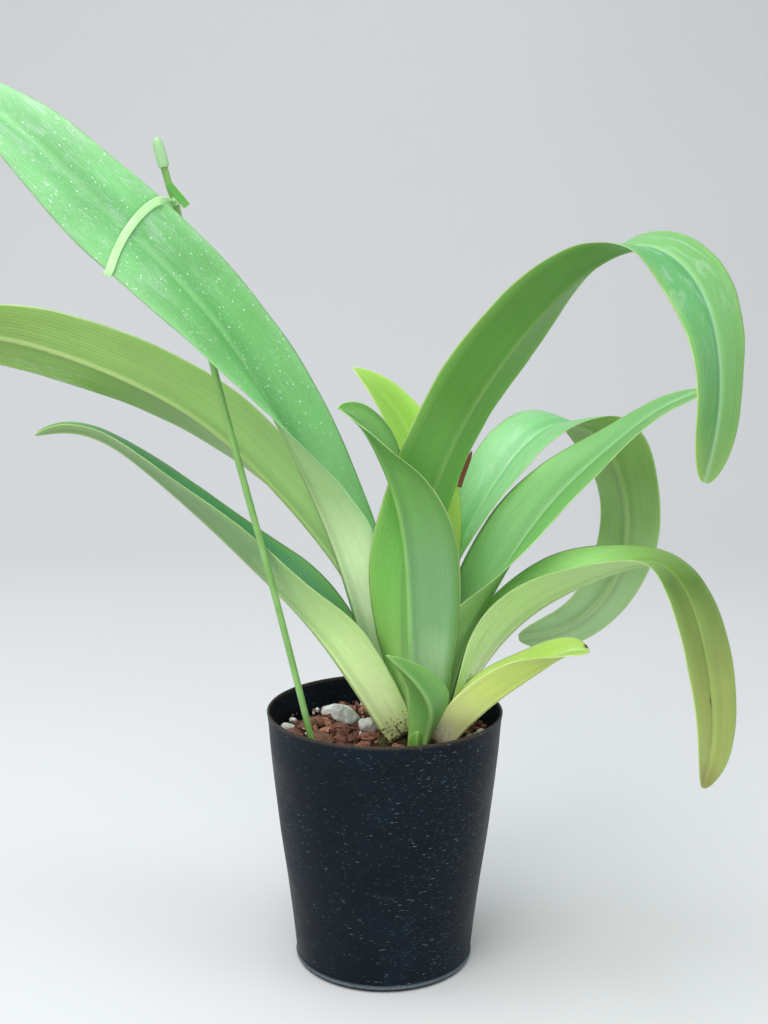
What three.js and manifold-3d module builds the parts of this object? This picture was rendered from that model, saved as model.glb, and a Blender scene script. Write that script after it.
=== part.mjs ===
// Potted slipper orchid: a round pot of coarse bark, two growths of long
// strap leaves on one creeping rhizome, and one leaf held up by a thin stake.
// Millimetres, +Z up. The origin is the centre of the pot's flat underside.
// The viewer stands at -Y; +X is to the viewer's right.
import * as THREE from 'three';
import { mergeVertices } from 'three/addons/utils/BufferGeometryUtils.js';
import { ParametricGeometry } from 'three/addons/geometries/ParametricGeometry.js';
import Module from 'manifold-3d';

// ---------------------------------------------------------------- dimensions
const RIM_RADIUS = 60;          // pot mouth, outside
const POT_HEIGHT = 132.9;
const FOOT_RADIUS = 45.8;
const POT_WALL = 1.2;
const POT_FLOOR = 1.8;
const DRAIN_HOLES = 8;
const DRAIN_RADIUS = 4;
const DRAIN_CIRCLE = 31;
const BED_TOP = 116;            // level of the bark under the loose chips
const GAP = 0.3;                // clearance between pieces that touch
const LEAF_MID = 1.7;           // blade thickness at the keel
const LEAF_EDGE = 0.9;          // blade thickness at the margin
const STAKE_RADIUS = 1.7;
const CAP_RADIUS = 2.6;
const TIE_WIDTH = 3.8;
const TIE_THICK = 0.7;
const ROOT_RADIUS = 2.1;

// ------------------------------------------------------------- leaf controls
// Each row is one control point of a uniform cubic B-spline, base to tip:
// midrib x, y, z, upper-face direction x, y, z, half width, and the angles in
// degrees by which each half rises from flat, at the keel and at the margin.
const LEAVES = {
  leaf_upper_left: [
    [2.7, -9.8, 121.8, 0.943, -0.249, 0.221, 12.7, 75, 68],
    [-10.3, -14.2, 169.0, 0.961, -0.073, 0.268, 19.5, 78, 72],
    [-22.3, -18.3, 214.5, 0.943, 0.027, 0.332, 24.7, 71, 65],
    [-38.3, -23.9, 255.4, 0.9, -0.224, 0.373, 25.8, 57, 50],
    [-56.9, -30.0, 293.3, 0.74, -0.584, 0.333, 24.7, 40, 32],
    [-77.0, -36.3, 327.8, 0.584, -0.756, 0.296, 22.9, 28, 16],
    [-101.8, -43.1, 357.2, 0.368, -0.914, 0.168, 21.7, 20, 5],
    [-129.2, -48.0, 382.7, 0.128, -0.991, 0.024, 20.3, 15, -1],
    [-153.4, -49.7, 407.7, 0.102, -0.987, 0.125, 17.2, 13, -5],
    [-178.2, -48.4, 427.5, 0.291, -0.824, 0.487, 11.7, 9, -7],
    [-206.0, -46.4, 444.6, 0.38, -0.629, 0.678, 5.2, 6, -8],
  ],
  leaf_middle_left: [
    [8.1, 0.2, 120.9, 0.964, 0.149, 0.22, 8.7, 64, 52],
    [-0.8, 1.8, 158.8, 0.892, 0.327, 0.311, 14.3, 60, 43],
    [-15.1, 2.0, 194.6, 0.765, 0.483, 0.425, 19.6, 49, 32],
    [-37.7, 1.6, 225.8, 0.619, 0.611, 0.493, 21.8, 41, 27],
    [-63.3, 1.1, 254.5, 0.479, 0.736, 0.478, 23.2, 37, 27],
    [-90.4, 1.4, 280.0, 0.31, 0.862, 0.4, 23.5, 34, 25],
    [-122.7, 2.5, 297.8, 0.244, 0.876, 0.416, 22.3, 30, 19],
    [-157.0, 4.9, 311.3, 0.196, 0.917, 0.347, 20.2, 24, 10],
    [-191.6, 8.5, 320.9, 0.122, 0.939, 0.323, 17.3, 18, 2],
    [-226.0, 12.8, 320.9, -0.001, 0.883, 0.469, 12.7, 13, -2],
    [-258.6, 17.0, 307.4, -0.164, 0.759, 0.63, 6.5, 9, -4],
  ],
  leaf_lower_left: [
    [3.2, -15.9, 119.8, 0.772, 0.402, 0.492, 14.6, 71, 63],
    [-12.4, -17.6, 144.7, 0.777, 0.368, 0.511, 19.1, 70, 63],
    [-27.5, -16.8, 168.5, 0.783, 0.199, 0.589, 22.1, 65, 60],
    [-44.3, -13.9, 188.3, 0.703, -0.186, 0.686, 22.9, 57, 54],
    [-62.9, -11.0, 205.9, 0.685, -0.044, 0.727, 21.7, 50, 45],
    [-81.3, -7.3, 223.4, 0.668, 0.062, 0.742, 19.5, 43, 35],
    [-100.2, -3.4, 239.9, 0.633, 0.0, 0.774, 16.9, 37, 25],
    [-119.1, 1.4, 255.2, 0.579, 0.063, 0.813, 14.5, 31, 16],
    [-137.7, 7.0, 268.4, 0.419, 0.149, 0.896, 12.3, 28, 13],
    [-158.0, 13.1, 274.2, 0.081, 0.088, 0.993, 10.2, 29, 17],
    [-177.9, 19.9, 269.4, -0.314, -0.24, 0.919, 7.1, 31, 22],
  ],
  leaf_front_center: [
    [18.6, -27.1, 121.9, 0.499, 0.852, 0.16, 13.9, 60, 45],
    [14.3, -29.8, 149.5, 0.483, 0.864, 0.14, 19.3, 52, 36],
    [11.7, -32.8, 176.8, 0.494, 0.862, 0.118, 23.8, 48, 30],
    [11.4, -35.7, 203.4, 0.569, 0.814, 0.12, 25.2, 47, 28],
    [9.4, -38.1, 228.5, 0.72, 0.671, 0.18, 24.4, 47, 28],
    [4.7, -39.6, 251.3, 0.865, 0.405, 0.297, 21.2, 47, 28],
    [-3.2, -41.6, 270.1, 0.912, -0.096, 0.398, 16.0, 45, 23],
    [-11.4, -46.8, 285.5, 0.782, -0.371, 0.501, 10.8, 37, 15],
    [-21.9, -54.4, 291.9, 0.613, -0.308, 0.727, 5.8, 25, 8],
  ],
  leaf_arching_right: [
    [13.5, -9.7, 121.0, 0.087, 0.994, 0.062, 9.7, 62, 50],
    [11.6, -11.8, 155.8, -0.078, 0.993, 0.09, 15.6, 52, 37],
    [10.5, -15.5, 189.8, -0.28, 0.95, 0.137, 20.1, 43, 26],
    [14.5, -19.3, 222.8, -0.47, 0.856, 0.213, 21.9, 36, 18],
    [24.5, -22.6, 254.6, -0.549, 0.783, 0.292, 22.9, 33, 14],
    [37.6, -25.7, 285.4, -0.536, 0.766, 0.355, 23.5, 31, 14],
    [55.5, -28.6, 313.5, -0.418, 0.818, 0.396, 23.7, 30, 14],
    [75.5, -31.2, 338.9, -0.45, 0.664, 0.597, 23.1, 29, 14],
    [96.9, -33.7, 358.8, -0.353, 0.352, 0.867, 22.2, 23, 7],
    [120.0, -40.9, 368.3, -0.002, -0.312, 0.95, 21.1, 14, -1],
    [140.2, -52.1, 351.6, 0.252, -0.727, 0.639, 20.1, 7, -6],
    [147.8, -63.6, 323.2, 0.592, -0.74, 0.319, 18.6, 4, -6],
    [147.5, -72.9, 292.6, 0.712, -0.694, 0.11, 16.3, 4, -5],
    [139.6, -79.9, 262.2, 0.593, -0.805, 0.03, 12.1, 4, -2],
  ],
  leaf_young_center: [
    [14.6, 0.1, 121.2, 0.341, -0.937, 0.075, 7.1, 55, 42],
    [15.2, 2.6, 152.3, 0.319, -0.945, 0.067, 12.6, 42, 28],
    [15.9, 5.0, 183.1, 0.299, -0.953, 0.05, 18.8, 34, 18],
    [18.6, 6.8, 212.9, 0.29, -0.956, 0.036, 20.0, 30, 13],
    [21.1, 8.0, 240.7, 0.311, -0.949, 0.057, 18.3, 28, 10],
    [15.8, 8.2, 266.0, 0.384, -0.912, 0.143, 14.5, 26, 8],
    [2.8, 7.0, 288.6, 0.508, -0.797, 0.326, 10.6, 23, 7],
    [-16.5, 2.4, 305.6, 0.632, -0.504, 0.588, 5.6, 22, 10],
  ],
  leaf_rear_right: [
    [17.8, 3.0, 121.7, -0.513, -0.851, 0.116, 8.0, 61, 49],
    [22.3, 5.5, 157.2, -0.756, -0.615, 0.225, 13.8, 49, 33],
    [30.0, 9.1, 191.3, -0.863, -0.359, 0.357, 19.9, 39, 22],
    [42.7, 14.5, 222.8, -0.779, -0.36, 0.514, 21.4, 31, 13],
    [58.6, 22.7, 250.7, -0.568, -0.437, 0.697, 22.0, 25, 8],
    [76.9, 33.9, 270.9, -0.274, -0.332, 0.903, 22.3, 23, 7],
    [98.7, 46.8, 276.0, 0.083, 0.051, 0.995, 22.0, 20, 6],
    [119.7, 61.3, 262.9, 0.253, 0.755, 0.606, 21.5, 18, 7],
    [131.9, 70.7, 233.6, 0.627, 0.714, 0.311, 19.1, 19, 8],
    [135.2, 76.8, 201.9, 0.33, 0.92, 0.2, 17.0, 18, 5],
    [125.7, 81.4, 172.8, 0.1, 0.99, 0.08, 14.4, 12, 0],
    [104.5, 83.6, 151.4, 0.01, 0.985, 0.12, 12.0, 7, -5],
    [75.3, 84.9, 146.9, 0.012, 0.995, 0.102, 8.4, 2, -9],
  ],
  leaf_straight_right: [
    [27.2, -20.2, 122.1, -0.978, 0.047, 0.203, 14.0, 65, 56],
    [33.6, -19.3, 151.5, -0.954, 0.154, 0.259, 17.5, 62, 49],
    [41.9, -17.6, 177.8, -0.918, 0.166, 0.36, 20.5, 55, 42],
    [53.9, -14.5, 199.6, -0.787, -0.367, 0.495, 22.2, 46, 34],
    [66.4, -11.2, 220.6, -0.637, -0.551, 0.54, 22.1, 38, 25],
    [80.8, -7.2, 240.2, -0.587, -0.513, 0.627, 20.8, 31, 16],
    [98.5, -3.1, 257.0, -0.556, -0.409, 0.723, 18.4, 26, 9],
    [117.4, 1.9, 272.5, -0.542, -0.24, 0.805, 15.0, 22, 4],
    [136.9, 7.3, 286.9, -0.441, -0.218, 0.871, 10.8, 18, 2],
    [159.3, 11.7, 295.0, -0.259, -0.405, 0.877, 5.9, 14, 0],
  ],
  leaf_drooping_right: [
    [27.8, -14.2, 123.1, -0.571, -0.724, 0.386, 12.7, 61, 49],
    [42.7, -11.3, 149.7, -0.723, -0.435, 0.537, 17.3, 61, 50],
    [57.7, -10.7, 172.6, -0.729, 0.087, 0.679, 20.9, 61, 52],
    [75.4, -14.0, 190.0, -0.619, 0.106, 0.778, 22.7, 59, 50],
    [95.2, -18.6, 202.1, -0.494, -0.02, 0.869, 22.5, 48, 37],
    [114.0, -23.2, 211.2, -0.259, 0.056, 0.964, 20.7, 32, 17],
    [130.8, -28.2, 217.0, 0.194, -0.002, 0.981, 19.3, 18, 0],
    [142.4, -37.0, 206.5, 0.527, -0.419, 0.739, 18.4, 13, -5],
    [148.9, -47.1, 186.1, 0.626, -0.625, 0.467, 18.2, 12, -2],
    [152.5, -56.7, 162.6, 0.652, -0.688, 0.318, 17.7, 12, 1],
    [153.0, -66.0, 139.5, 0.674, -0.711, 0.201, 15.3, 11, 5],
    [146.1, -75.7, 119.6, 0.693, -0.715, 0.091, 9.5, 13, 9],
  ],
  leaf_short_yellow: [
    [30.3, -28.3, 121.0, -0.742, 0.25, 0.621, 12.6, 67, 61],
    [40.5, -30.4, 134.3, -0.711, 0.182, 0.68, 15.9, 64, 59],
    [51.8, -31.8, 146.1, -0.65, 0.147, 0.745, 18.0, 61, 55],
    [63.9, -32.4, 155.3, -0.582, 0.222, 0.782, 17.7, 56, 46],
    [74.8, -32.2, 162.9, -0.559, 0.132, 0.818, 15.2, 47, 33],
    [83.7, -32.6, 169.4, -0.494, -0.117, 0.862, 12.3, 35, 21],
    [91.2, -34.0, 173.4, -0.289, -0.249, 0.925, 8.9, 25, 12],
    [98.3, -36.1, 173.0, -0.037, -0.294, 0.955, 4.5, 16, 6],
  ],
  sheath_leaf_front: [
    [17.7, -36.0, 119.6, -0.456, 0.79, 0.409, 7.0, 35, 53],
    [22.3, -40.0, 137.8, -0.242, 0.886, 0.396, 11.4, 32, 48],
    [22.2, -44.4, 147.4, 0.008, 0.939, 0.345, 12.5, 31, 43],
    [18.0, -47.4, 156.8, 0.126, 0.95, 0.287, 10.5, 29, 38],
    [10.4, -48.6, 166.2, 0.253, 0.909, 0.332, 6.5, 27, 34],
    [0.4, -48.4, 174.5, 0.395, 0.797, 0.457, 2.1, 23, 27],
  ],
  scale_leaf_front: [
    [15.7, -38.0, 120.3, 0.0, 0.976, 0.217, 5.2, 38, 48],
    [15.7, -39.5, 124.5, 0.0, 0.952, 0.305, 6.2, 38, 48],
    [15.6, -40.5, 129.4, 0.0, 0.921, 0.39, 5.4, 36, 44],
    [16.0, -40.0, 134.2, 0.0, 0.884, 0.468, 2.4, 30, 30],
  ],
  sheath_leaf_side: [
    [29.7, -17.0, 121.7, -0.598, 0.717, 0.359, 5, 40, 46],
    [32.5, -18.0, 134.6, -0.585, 0.663, 0.468, 6.6, 38, 44],
    [37.3, -18.0, 146.5, -0.565, 0.602, 0.565, 5, 34, 38],
    [44.1, -17.0, 155.8, -0.539, 0.539, 0.647, 2, 28, 28],
  ],
  dried_bract: [
    [36.5, 4.0, 246.5, 0.309, -0.928, 0.206, 1.3, 25, 25],
    [38.1, 4.0, 252.6, 0.309, -0.928, 0.206, 1.5, 25, 25],
    [40.3, 4.0, 258.7, 0.309, -0.928, 0.206, 1.4, 25, 25],
    [42.7, 4.0, 264.7, 0.309, -0.928, 0.206, 0.9, 20, 20],
  ],
};

// Stake centre line: foot in the bark, then up to the top under the cap.
const STAKE = [
  [-13.1, -23.7, 14], [-25.0, -24.9, 69], [-36.2, -26, 124.5], [-48, -27.5, 175.9], [-57.3, -28, 213.8],
  [-69.5, -28, 260.9], [-81.4, -29, 309.3], [-88.4, -30.2, 340.3], [-93.6, -32.2, 366.7],
  [-96.7, -33.8, 383.2], [-98.6, -34.2, 388.6], [-101.2, -35, 398.4], [-103.6, -35.5, 408.4],
];
const CAP_FOOT = [-101.35, -35.05, 399.0];
const CAP_TOP = [-104.5, -35.75, 412.2];
// Tie: closed band round the blade and the stake, point and outward direction.
const TIE_LOOP = [
  [-124.94, -55.0, 351.03, -0.35, -0.4, -0.85],
  [-123.47, -55.4, 353.46, 0.19, -0.94, 0.29],
  [-121.92, -53.47, 358.39, 0.25, -0.92, 0.29],
  [-120.29, -51.55, 362.85, 0.3, -0.91, 0.28],
  [-118.38, -49.39, 367.1, 0.31, -0.93, 0.22],
  [-115.88, -47.71, 371.31, 0.25, -0.96, 0.1],
  [-112.41, -47.17, 375.76, 0.19, -0.98, -0.01],
  [-108.43, -46.91, 379.88, 0.19, -0.98, -0.04],
  [-104.75, -46.27, 382.61, 0.23, -0.97, -0.02],
  [-101.75, -45.53, 383.8, 0.26, -0.96, -0.0],
  [-97.74, -36.11, 383.69, -0.39, -0.9, -0.19],
  [-96.32, -36.3, 384.02, 0.19, -0.98, -0.06],
  [-94.93, -35.47, 384.44, 0.76, -0.64, 0.12],
  [-94.41, -33.9, 384.74, 0.97, -0.0, 0.24],
  [-95.01, -32.33, 384.77, 0.73, 0.64, 0.25],
  [-116.84, -44.05, 370.93, -0.25, 0.96, -0.1],
  [-119.33, -46.76, 366.4, -0.31, 0.93, -0.22],
  [-121.2, -48.93, 362.02, -0.3, 0.91, -0.28],
  [-122.65, -50.79, 357.56, -0.25, 0.92, -0.29],
  [-124.02, -52.68, 352.62, -0.19, 0.94, -0.29],
];

// Flat ribbed end of the tie: its two ends and its width direction.
const TIE_END = [[-99.3, -38.6, 391.9], [-90.8, -38.6, 381.7]];
const TIE_END_WIDTH = 3.4;
// Loose bark chips: x, y, radius, aspect, turn, thickness, two tilts, seed.
const CHIPS = [
  [6.4, 40.5, 9.5, 0.59, 51, 3.0, 6, 0, 81],
  [-31.5, -11.0, 9, 0.8, 145, 4.0, 4, -2, 97],
  [11.8, 18.6, 8.5, 0.68, 20, 3.1, -7, -5, 51],
  [24.4, 35.7, 8.5, 0.58, 173, 3.8, 6, 7, 84],
  [-2.0, -38.3, 8, 0.53, 44, 3.8, 1, 2, 86],
  [-24.2, -28.5, 8, 0.7, 172, 3.7, -5, -2, 24],
  [-47.8, -4.7, 7.5, 0.66, 161, 4.2, 6, 1, 57],
  [44.4, 13.4, 7.5, 0.51, 78, 3.4, -7, 3, 25],
  [-8.2, -5.2, 7, 0.55, 20, 3.0, 3, -1, 31],
  [-39.1, 14.1, 7, 0.61, 61, 3.1, -1, -2, 83],
  [-23.5, 5.2, 6.5, 0.76, 18, 4.3, 4, 7, 75],
  [32.5, -0.2, 6.5, 0.61, 57, 3.6, -1, -4, 57],
  [-4.3, 20.4, 6, 0.79, 39, 3.3, -7, -1, 17],
  [6.8, -25.0, 6, 0.56, 80, 3.7, 2, 5, 41],
  [25.9, 13.7, 5.5, 0.54, 99, 3.5, -5, 7, 44],
  [-20.3, -43.4, 5.5, 0.76, 33, 3.0, -1, -6, 78],
  [-8.1, 33.2, 5, 0.59, 91, 3.4, -6, 2, 27],
  [38.7, -20.5, 5, 0.58, 13, 3.8, 1, 0, 8],
];
const STONES = {
  stone_round_white: [-8.3, 8.2, 5.2, 4.8, 3.6],
  stone_large_grey_white: [-20.5, 21.0, 8.2, 6.0, 4.4],
  stone_flat_white: [-29, 35.5, 5.0, 4.2, 2.8],
  stone_rim_left: [-50.2, 10.2, 3.6, 2.4, 2.2],
  stone_small_back: [-11.4, 44.5, 2.0, 2.2, 1.6],
  stone_small_left: [-48.0, 23.0, 2.0, 1.8, 1.6],
  stone_small_right: [49.2, 0.5, 2.4, 2.2, 1.7],
  stone_grey_right: [43.2, -10.3, 3.0, 2.7, 2.1],
};

// ---------------------------------------------------------------- solid tools
const wasm = await Module();
wasm.setup();

function solidOf(geometry, weld = 1e-4) {
  const g = geometry.clone();
  for (const name of Object.keys(g.attributes)) if (name !== 'position') g.deleteAttribute(name);
  const m = mergeVertices(g, weld);
  const index = m.index.array;
  const tri = [];
  for (let i = 0; i < index.length; i += 3) {
    const [a, b, c] = [index[i], index[i + 1], index[i + 2]];
    if (a !== b && b !== c && c !== a) tri.push(a, b, c);
  }
  let solid = new wasm.Manifold(new wasm.Mesh({
    numProp: 3,
    vertProperties: new Float32Array(m.attributes.position.array),
    triVerts: new Uint32Array(tri),
  }));
  if (solid.volume() < 0) {
    for (let i = 0; i < tri.length; i += 3) [tri[i], tri[i + 1]] = [tri[i + 1], tri[i]];
    solid = new wasm.Manifold(new wasm.Mesh({
      numProp: 3,
      vertProperties: new Float32Array(m.attributes.position.array),
      triVerts: new Uint32Array(tri),
    }));
  }
  return solid;
}

// The biggest piece of a cut solid, with vertices that lie within a few
// microns of each other welded, repeated until welding changes nothing.
function largest(solid) {
  let best = solid;
  for (const weld of [1e-2, 1e-2, 1e-3, 1e-3, 1e-3]) {
    let pieces = null;
    try { pieces = solidOf(geometryOf(best).toNonIndexed(), weld).decompose(); } catch { continue; }
    if (pieces.length) best = pieces.reduce((a, b) => (b.volume() > a.volume() ? b : a));
  }
  return best;
}

function geometryOf(solid) {
  const mesh = solid.getMesh();
  const g = new THREE.BufferGeometry();
  g.setAttribute('position', new THREE.BufferAttribute(new Float32Array(mesh.vertProperties), 3));
  g.setIndex(new THREE.BufferAttribute(new Uint32Array(mesh.triVerts), 1));
  g.computeVertexNormals();
  return g;
}

function boxesMeet(a, b) {
  const p = a.boundingBox(), q = b.boundingBox();
  return [0, 1, 2].every((k) => p.min[k] < q.max[k] && q.min[k] < p.max[k]);
}

function seeded(seed) {
  let s = seed * 2654435761 % 4294967296;
  return () => { s = (s * 1664525 + 1013904223) % 4294967296; return s / 4294967296; };
}

// -------------------------------------------------------------------- leaves
function basis(count, t) {
  const u = Math.min(Math.max(t, 0), 1) * (count - 1);
  const i = Math.min(Math.floor(u), count - 2);
  const f = u - i;
  const b = [(1 - f) ** 3 / 6, (3 * f ** 3 - 6 * f * f + 4) / 6, (-3 * f ** 3 + 3 * f * f + 3 * f + 1) / 6, f ** 3 / 6];
  const w = new Array(count).fill(0);
  b.forEach((c, k) => {
    const j = i - 1 + k;
    if (j < 0) { w[0] += 2 * c; w[1] -= c; }
    else if (j >= count) { w[count - 1] += 2 * c; w[count - 2] -= c; }
    else w[j] += c;
  });
  return w;
}

function control(rows, t) {
  const w = basis(rows.length, t);
  const out = new Array(9).fill(0);
  rows.forEach((row, i) => row.forEach((value, k) => { out[k] += w[i] * value; }));
  return out;
}

// Section of the blade at t: ten points round it, grown outwards by `grow`.
function leafSection(rows, t, grow) {
  const e = 0.004;
  const c = control(rows, t);
  const a = control(rows, Math.max(t - e, 0)), b = control(rows, Math.min(t + e, 1));
  const mid = new THREE.Vector3(c[0], c[1], c[2]);
  const T = new THREE.Vector3(b[0] - a[0], b[1] - a[1], b[2] - a[2]).normalize();
  const S = new THREE.Vector3(c[3], c[4], c[5]).cross(T).normalize();
  const N = new THREE.Vector3().crossVectors(T, S);
  const start = 1 - 0.9 / (rows.length - 1);
  const x = Math.min(Math.max((t - start) / (1 - start), 0), 1);
  const round = Math.sqrt(Math.max(1 - x ** 2.2, 0));
  const w = c[6] * round + grow;
  const taper = 0.55 + 0.45 * round;
  const rad = Math.PI / 180;
  const upper = [], lower = [];
  for (const f of [1, 0.5, 0, -0.5, -1]) {
    const side = f < 0 ? -1 : 1;
    const reach = Math.abs(f);
    const p = mid.clone();
    const steps = 4;
    for (let i = 0; i < steps && reach > 0; i += 1) {
      const q = (i + 0.5) / steps * reach;
      const angle = (c[7] + (c[8] - c[7]) * q) * rad;
      p.addScaledVector(S, side * Math.cos(angle) * w * reach / steps);
      p.addScaledVector(N, Math.sin(angle) * w * reach / steps);
    }
    const angle = (c[7] + (c[8] - c[7]) * reach) * rad;
    const half = (LEAF_MID + (LEAF_EDGE - LEAF_MID) * reach) / 2 * taper + grow;
    const n = new THREE.Vector3();
    if (reach === 0) n.copy(N).multiplyScalar(Math.min(1 / Math.cos(c[7] * rad), 1.9));
    else n.copy(N).multiplyScalar(Math.cos(angle)).addScaledVector(S, -side * Math.sin(angle));
    upper.push(p.clone().addScaledVector(n, half));
    lower.push(p.clone().addScaledVector(n, -half));
  }
  return [...upper, ...lower.reverse()];
}

function leafSolid(rows, stations, grow = 0) {
  const sections = [];
  for (let i = 0; i <= stations; i += 1) sections.push(leafSection(rows, i / stations * 0.996, grow));
  if (grow > 0) {
    const push = (near, far) => {
      const step = near[2].clone().sub(far[2]).setLength(grow);
      near.forEach((p) => p.add(step));
    };
    push(sections[0], sections[1]);
    push(sections[stations], sections[stations - 1]);
  }
  // Each end closes on the line half way between the two faces.
  const closed = (ring) => ring.map((p, i) => p.clone().add(ring[ring.length - 1 - i]).multiplyScalar(0.5));
  const count = sections[0].length;
  const rings = [closed(sections[0]), ...sections, closed(sections[stations])];
  const last = rings.length - 1;
  const geometry = new ParametricGeometry((u, v, target) => {
    target.copy(rings[Math.round(v * last)][Math.round(u * count) % count]);
  }, count, last);
  return solidOf(geometry);
}

// ----------------------------------------------------------------- the pieces
const plant = new THREE.Group();
const finish = (color, roughness, metalness = 0) => new THREE.MeshStandardMaterial({ color, roughness, metalness });
const POT_BLACK = finish(0x14181b, 0.42);
const BARK = finish(0x6b4634, 0.95);
const CHIP = finish(0x7d4b33, 0.9);
const STONE = finish(0xd9dcd8, 0.8);
const ROOT = finish(0x6d5238, 0.9);
const RHIZOME = finish(0x59602f, 0.8);
const GREEN = finish(0x5f9a45, 0.5);
const PALE_GREEN = finish(0x9ab84f, 0.5);
const DRY = finish(0x8a4a35, 0.8);
const STAKE_GREEN = finish(0x5f9457, 0.4);
const TIE_GREEN = finish(0xa3cda0, 0.45);

function place(name, geometry, material) {
  const mesh = new THREE.Mesh(geometry, material);
  mesh.name = name;
  plant.add(mesh);
  return mesh;
}

const lathe = (profile, segments) => {
  const g = new THREE.LatheGeometry(profile.map(([r, z]) => new THREE.Vector2(r, z)), segments);
  g.rotateX(Math.PI / 2);
  return g;
};

// Pot: a thin tapered wall, a small rounded foot, and a straighter top band.
const OUTSIDE = [
  [43.4, 0], [45.0, 0.7], [FOOT_RADIUS, 2.4], [45.8, 3.6], [45.5, 5.0], [47.4, 23.3], [50.2, 46], [53.4, 68.4],
  [56.6, 97], [58.2, 113], [59.1, 126], [59.7, 131.2], [RIM_RADIUS, 132.2], [59.6, POT_HEIGHT],
];
const INSIDE = [
  [58.9, POT_HEIGHT], [58.5, 131.6], [58.2 - POT_WALL, 113], [56.6 - POT_WALL, 97],
  [53.4 - POT_WALL, 68.4], [50.2 - POT_WALL, 46], [47.4 - POT_WALL, 23.3], [44.4, 5.0], [43.2, POT_FLOOR],
];
let pot = solidOf(lathe([[0, 0], ...OUTSIDE, ...INSIDE, [0, POT_FLOOR]], 44));
for (let i = 0; i < DRAIN_HOLES; i += 1) {
  const a = (i + 0.5) / DRAIN_HOLES * Math.PI * 2;
  const hole = new THREE.CylinderGeometry(DRAIN_RADIUS, DRAIN_RADIUS, 8, 10);
  hole.rotateX(Math.PI / 2);
  hole.translate(DRAIN_CIRCLE * Math.cos(a), DRAIN_CIRCLE * Math.sin(a), 0);
  pot = pot.subtract(solidOf(hole));
}
place('pot', geometryOf(largest(pot)), POT_BLACK);

// Rhizome: two growths and a small front bud, grown together.
function lump(x, y, z, rx, ry, rz, grow) {
  const g = new THREE.SphereGeometry(1, 12, 7);
  g.rotateX(Math.PI / 2);
  g.scale(rx + grow, ry + grow, rz + grow);
  g.translate(x, y, z);
  return solidOf(g);
}
function rhizomeSolid(grow) {
  return lump(8, -6, 113, 14, 11, 10, grow)
    .add(lump(24, -20, 113, 14, 12, 11, grow))
    .add(lump(17, -33, 113.5, 9, 8, 8, grow));
}
const rhizome = rhizomeSolid(0);
const rhizomeRoom = rhizomeSolid(GAP);
place('rhizome', geometryOf(largest(rhizome)), RHIZOME);

// Roots: thick roots that run down through the bark from the rhizome.
const ROOTS = [
  [[2, -4, 110], [-12, 2, 98], [-24, 10, 78], [-30, 18, 52], [-26, 26, 26], [-14, 31, 9]],
  [[8, 2, 108], [10, 16, 94], [14, 28, 70], [20, 34, 44], [28, 28, 18], [33, 14, 7.5]],
  [[28, -16, 108], [38, -10, 92], [42, -2, 68], [38, 8, 42], [36, -6, 20], [30, -20, 8]],
  [[20, -28, 108], [14, -38, 92], [2, -42, 66], [-6, -38, 40], [-4, -30, 18], [6, -28, 7.5]],
  [[14, -14, 106], [8, -8, 84], [6, 4, 58], [0, 6, 32], [4, 2, 12]],
];
function rodSolid(points, radius, sides, steps) {
  const shape = new THREE.Shape();
  for (let i = 0; i < sides; i += 1) {
    const a = i / sides * Math.PI * 2;
    if (i === 0) shape.moveTo(radius, 0); else shape.lineTo(radius * Math.cos(a), radius * Math.sin(a));
  }
  const path = new THREE.CatmullRomCurve3(points.map((p) => new THREE.Vector3(...p)), false, 'centripetal');
  return solidOf(new THREE.ExtrudeGeometry(shape, { steps, extrudePath: path, bevelEnabled: false }));
}
const rootRooms = [];
ROOTS.forEach((points, i) => {
  const root = largest(rodSolid(points, ROOT_RADIUS, 6, 9).subtract(rhizomeRoom));
  rootRooms.push(rodSolid(points, ROOT_RADIUS + GAP + 0.15, 6, 9));
  place(`root_${i + 1}`, geometryOf(root), ROOT);
});

// Stake: a straight coated rod with a rounded cap pushed over its end.
const stake = rodSolid(STAKE, STAKE_RADIUS, 8, 26);
const stakeRoom = rodSolid(STAKE, STAKE_RADIUS + GAP + 0.1, 8, 26);
place('stake_rod', geometryOf(stake), STAKE_GREEN);
{
  const foot = new THREE.Vector3(...CAP_FOOT), top = new THREE.Vector3(...CAP_TOP);
  const length = foot.distanceTo(top);
  const bore = STAKE_RADIUS + GAP + 0.2;
  const g = new THREE.LatheGeometry([
    [bore, 0], [2.35, 0], [CAP_RADIUS, 1.2], [CAP_RADIUS, length - 4.4], [2.45, length - 2.2], [1.75, length - 0.7], [0.8, length - 0.08],
    [0, length], [0, length - 2.2], [bore - 0.5, length - 2.2], [bore, length - 2.8], [bore, 0],
  ].map(([r, y]) => new THREE.Vector2(r, y)), 14);
  g.applyQuaternion(new THREE.Quaternion().setFromUnitVectors(new THREE.Vector3(0, 1, 0), top.clone().sub(foot).normalize()));
  g.translate(foot.x, foot.y, foot.z);
  place('stake_cap', geometryOf(largest(solidOf(g).subtract(stakeRoom))), STAKE_GREEN);
}

// Bark bed: the packed medium under the loose chips, with room for the
// rhizome, the roots and the stake.
let bed = solidOf(lathe([
  [0, 2.1], [42.8, 2.1], [44.0, 5.0], [47.4 - POT_WALL - GAP, 23.3], [50.2 - POT_WALL - GAP, 46], [53.4 - POT_WALL - GAP, 68.4],
  [56.6 - POT_WALL - GAP, 97], [58.4 - POT_WALL - GAP - 0.1, BED_TOP], [0, BED_TOP],
], 36));
bed = bed.subtract(rhizomeRoom).subtract(stakeRoom);
for (const room of rootRooms) bed = bed.subtract(room);
place('bark_bed', geometryOf(largest(bed)), BARK);

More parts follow.
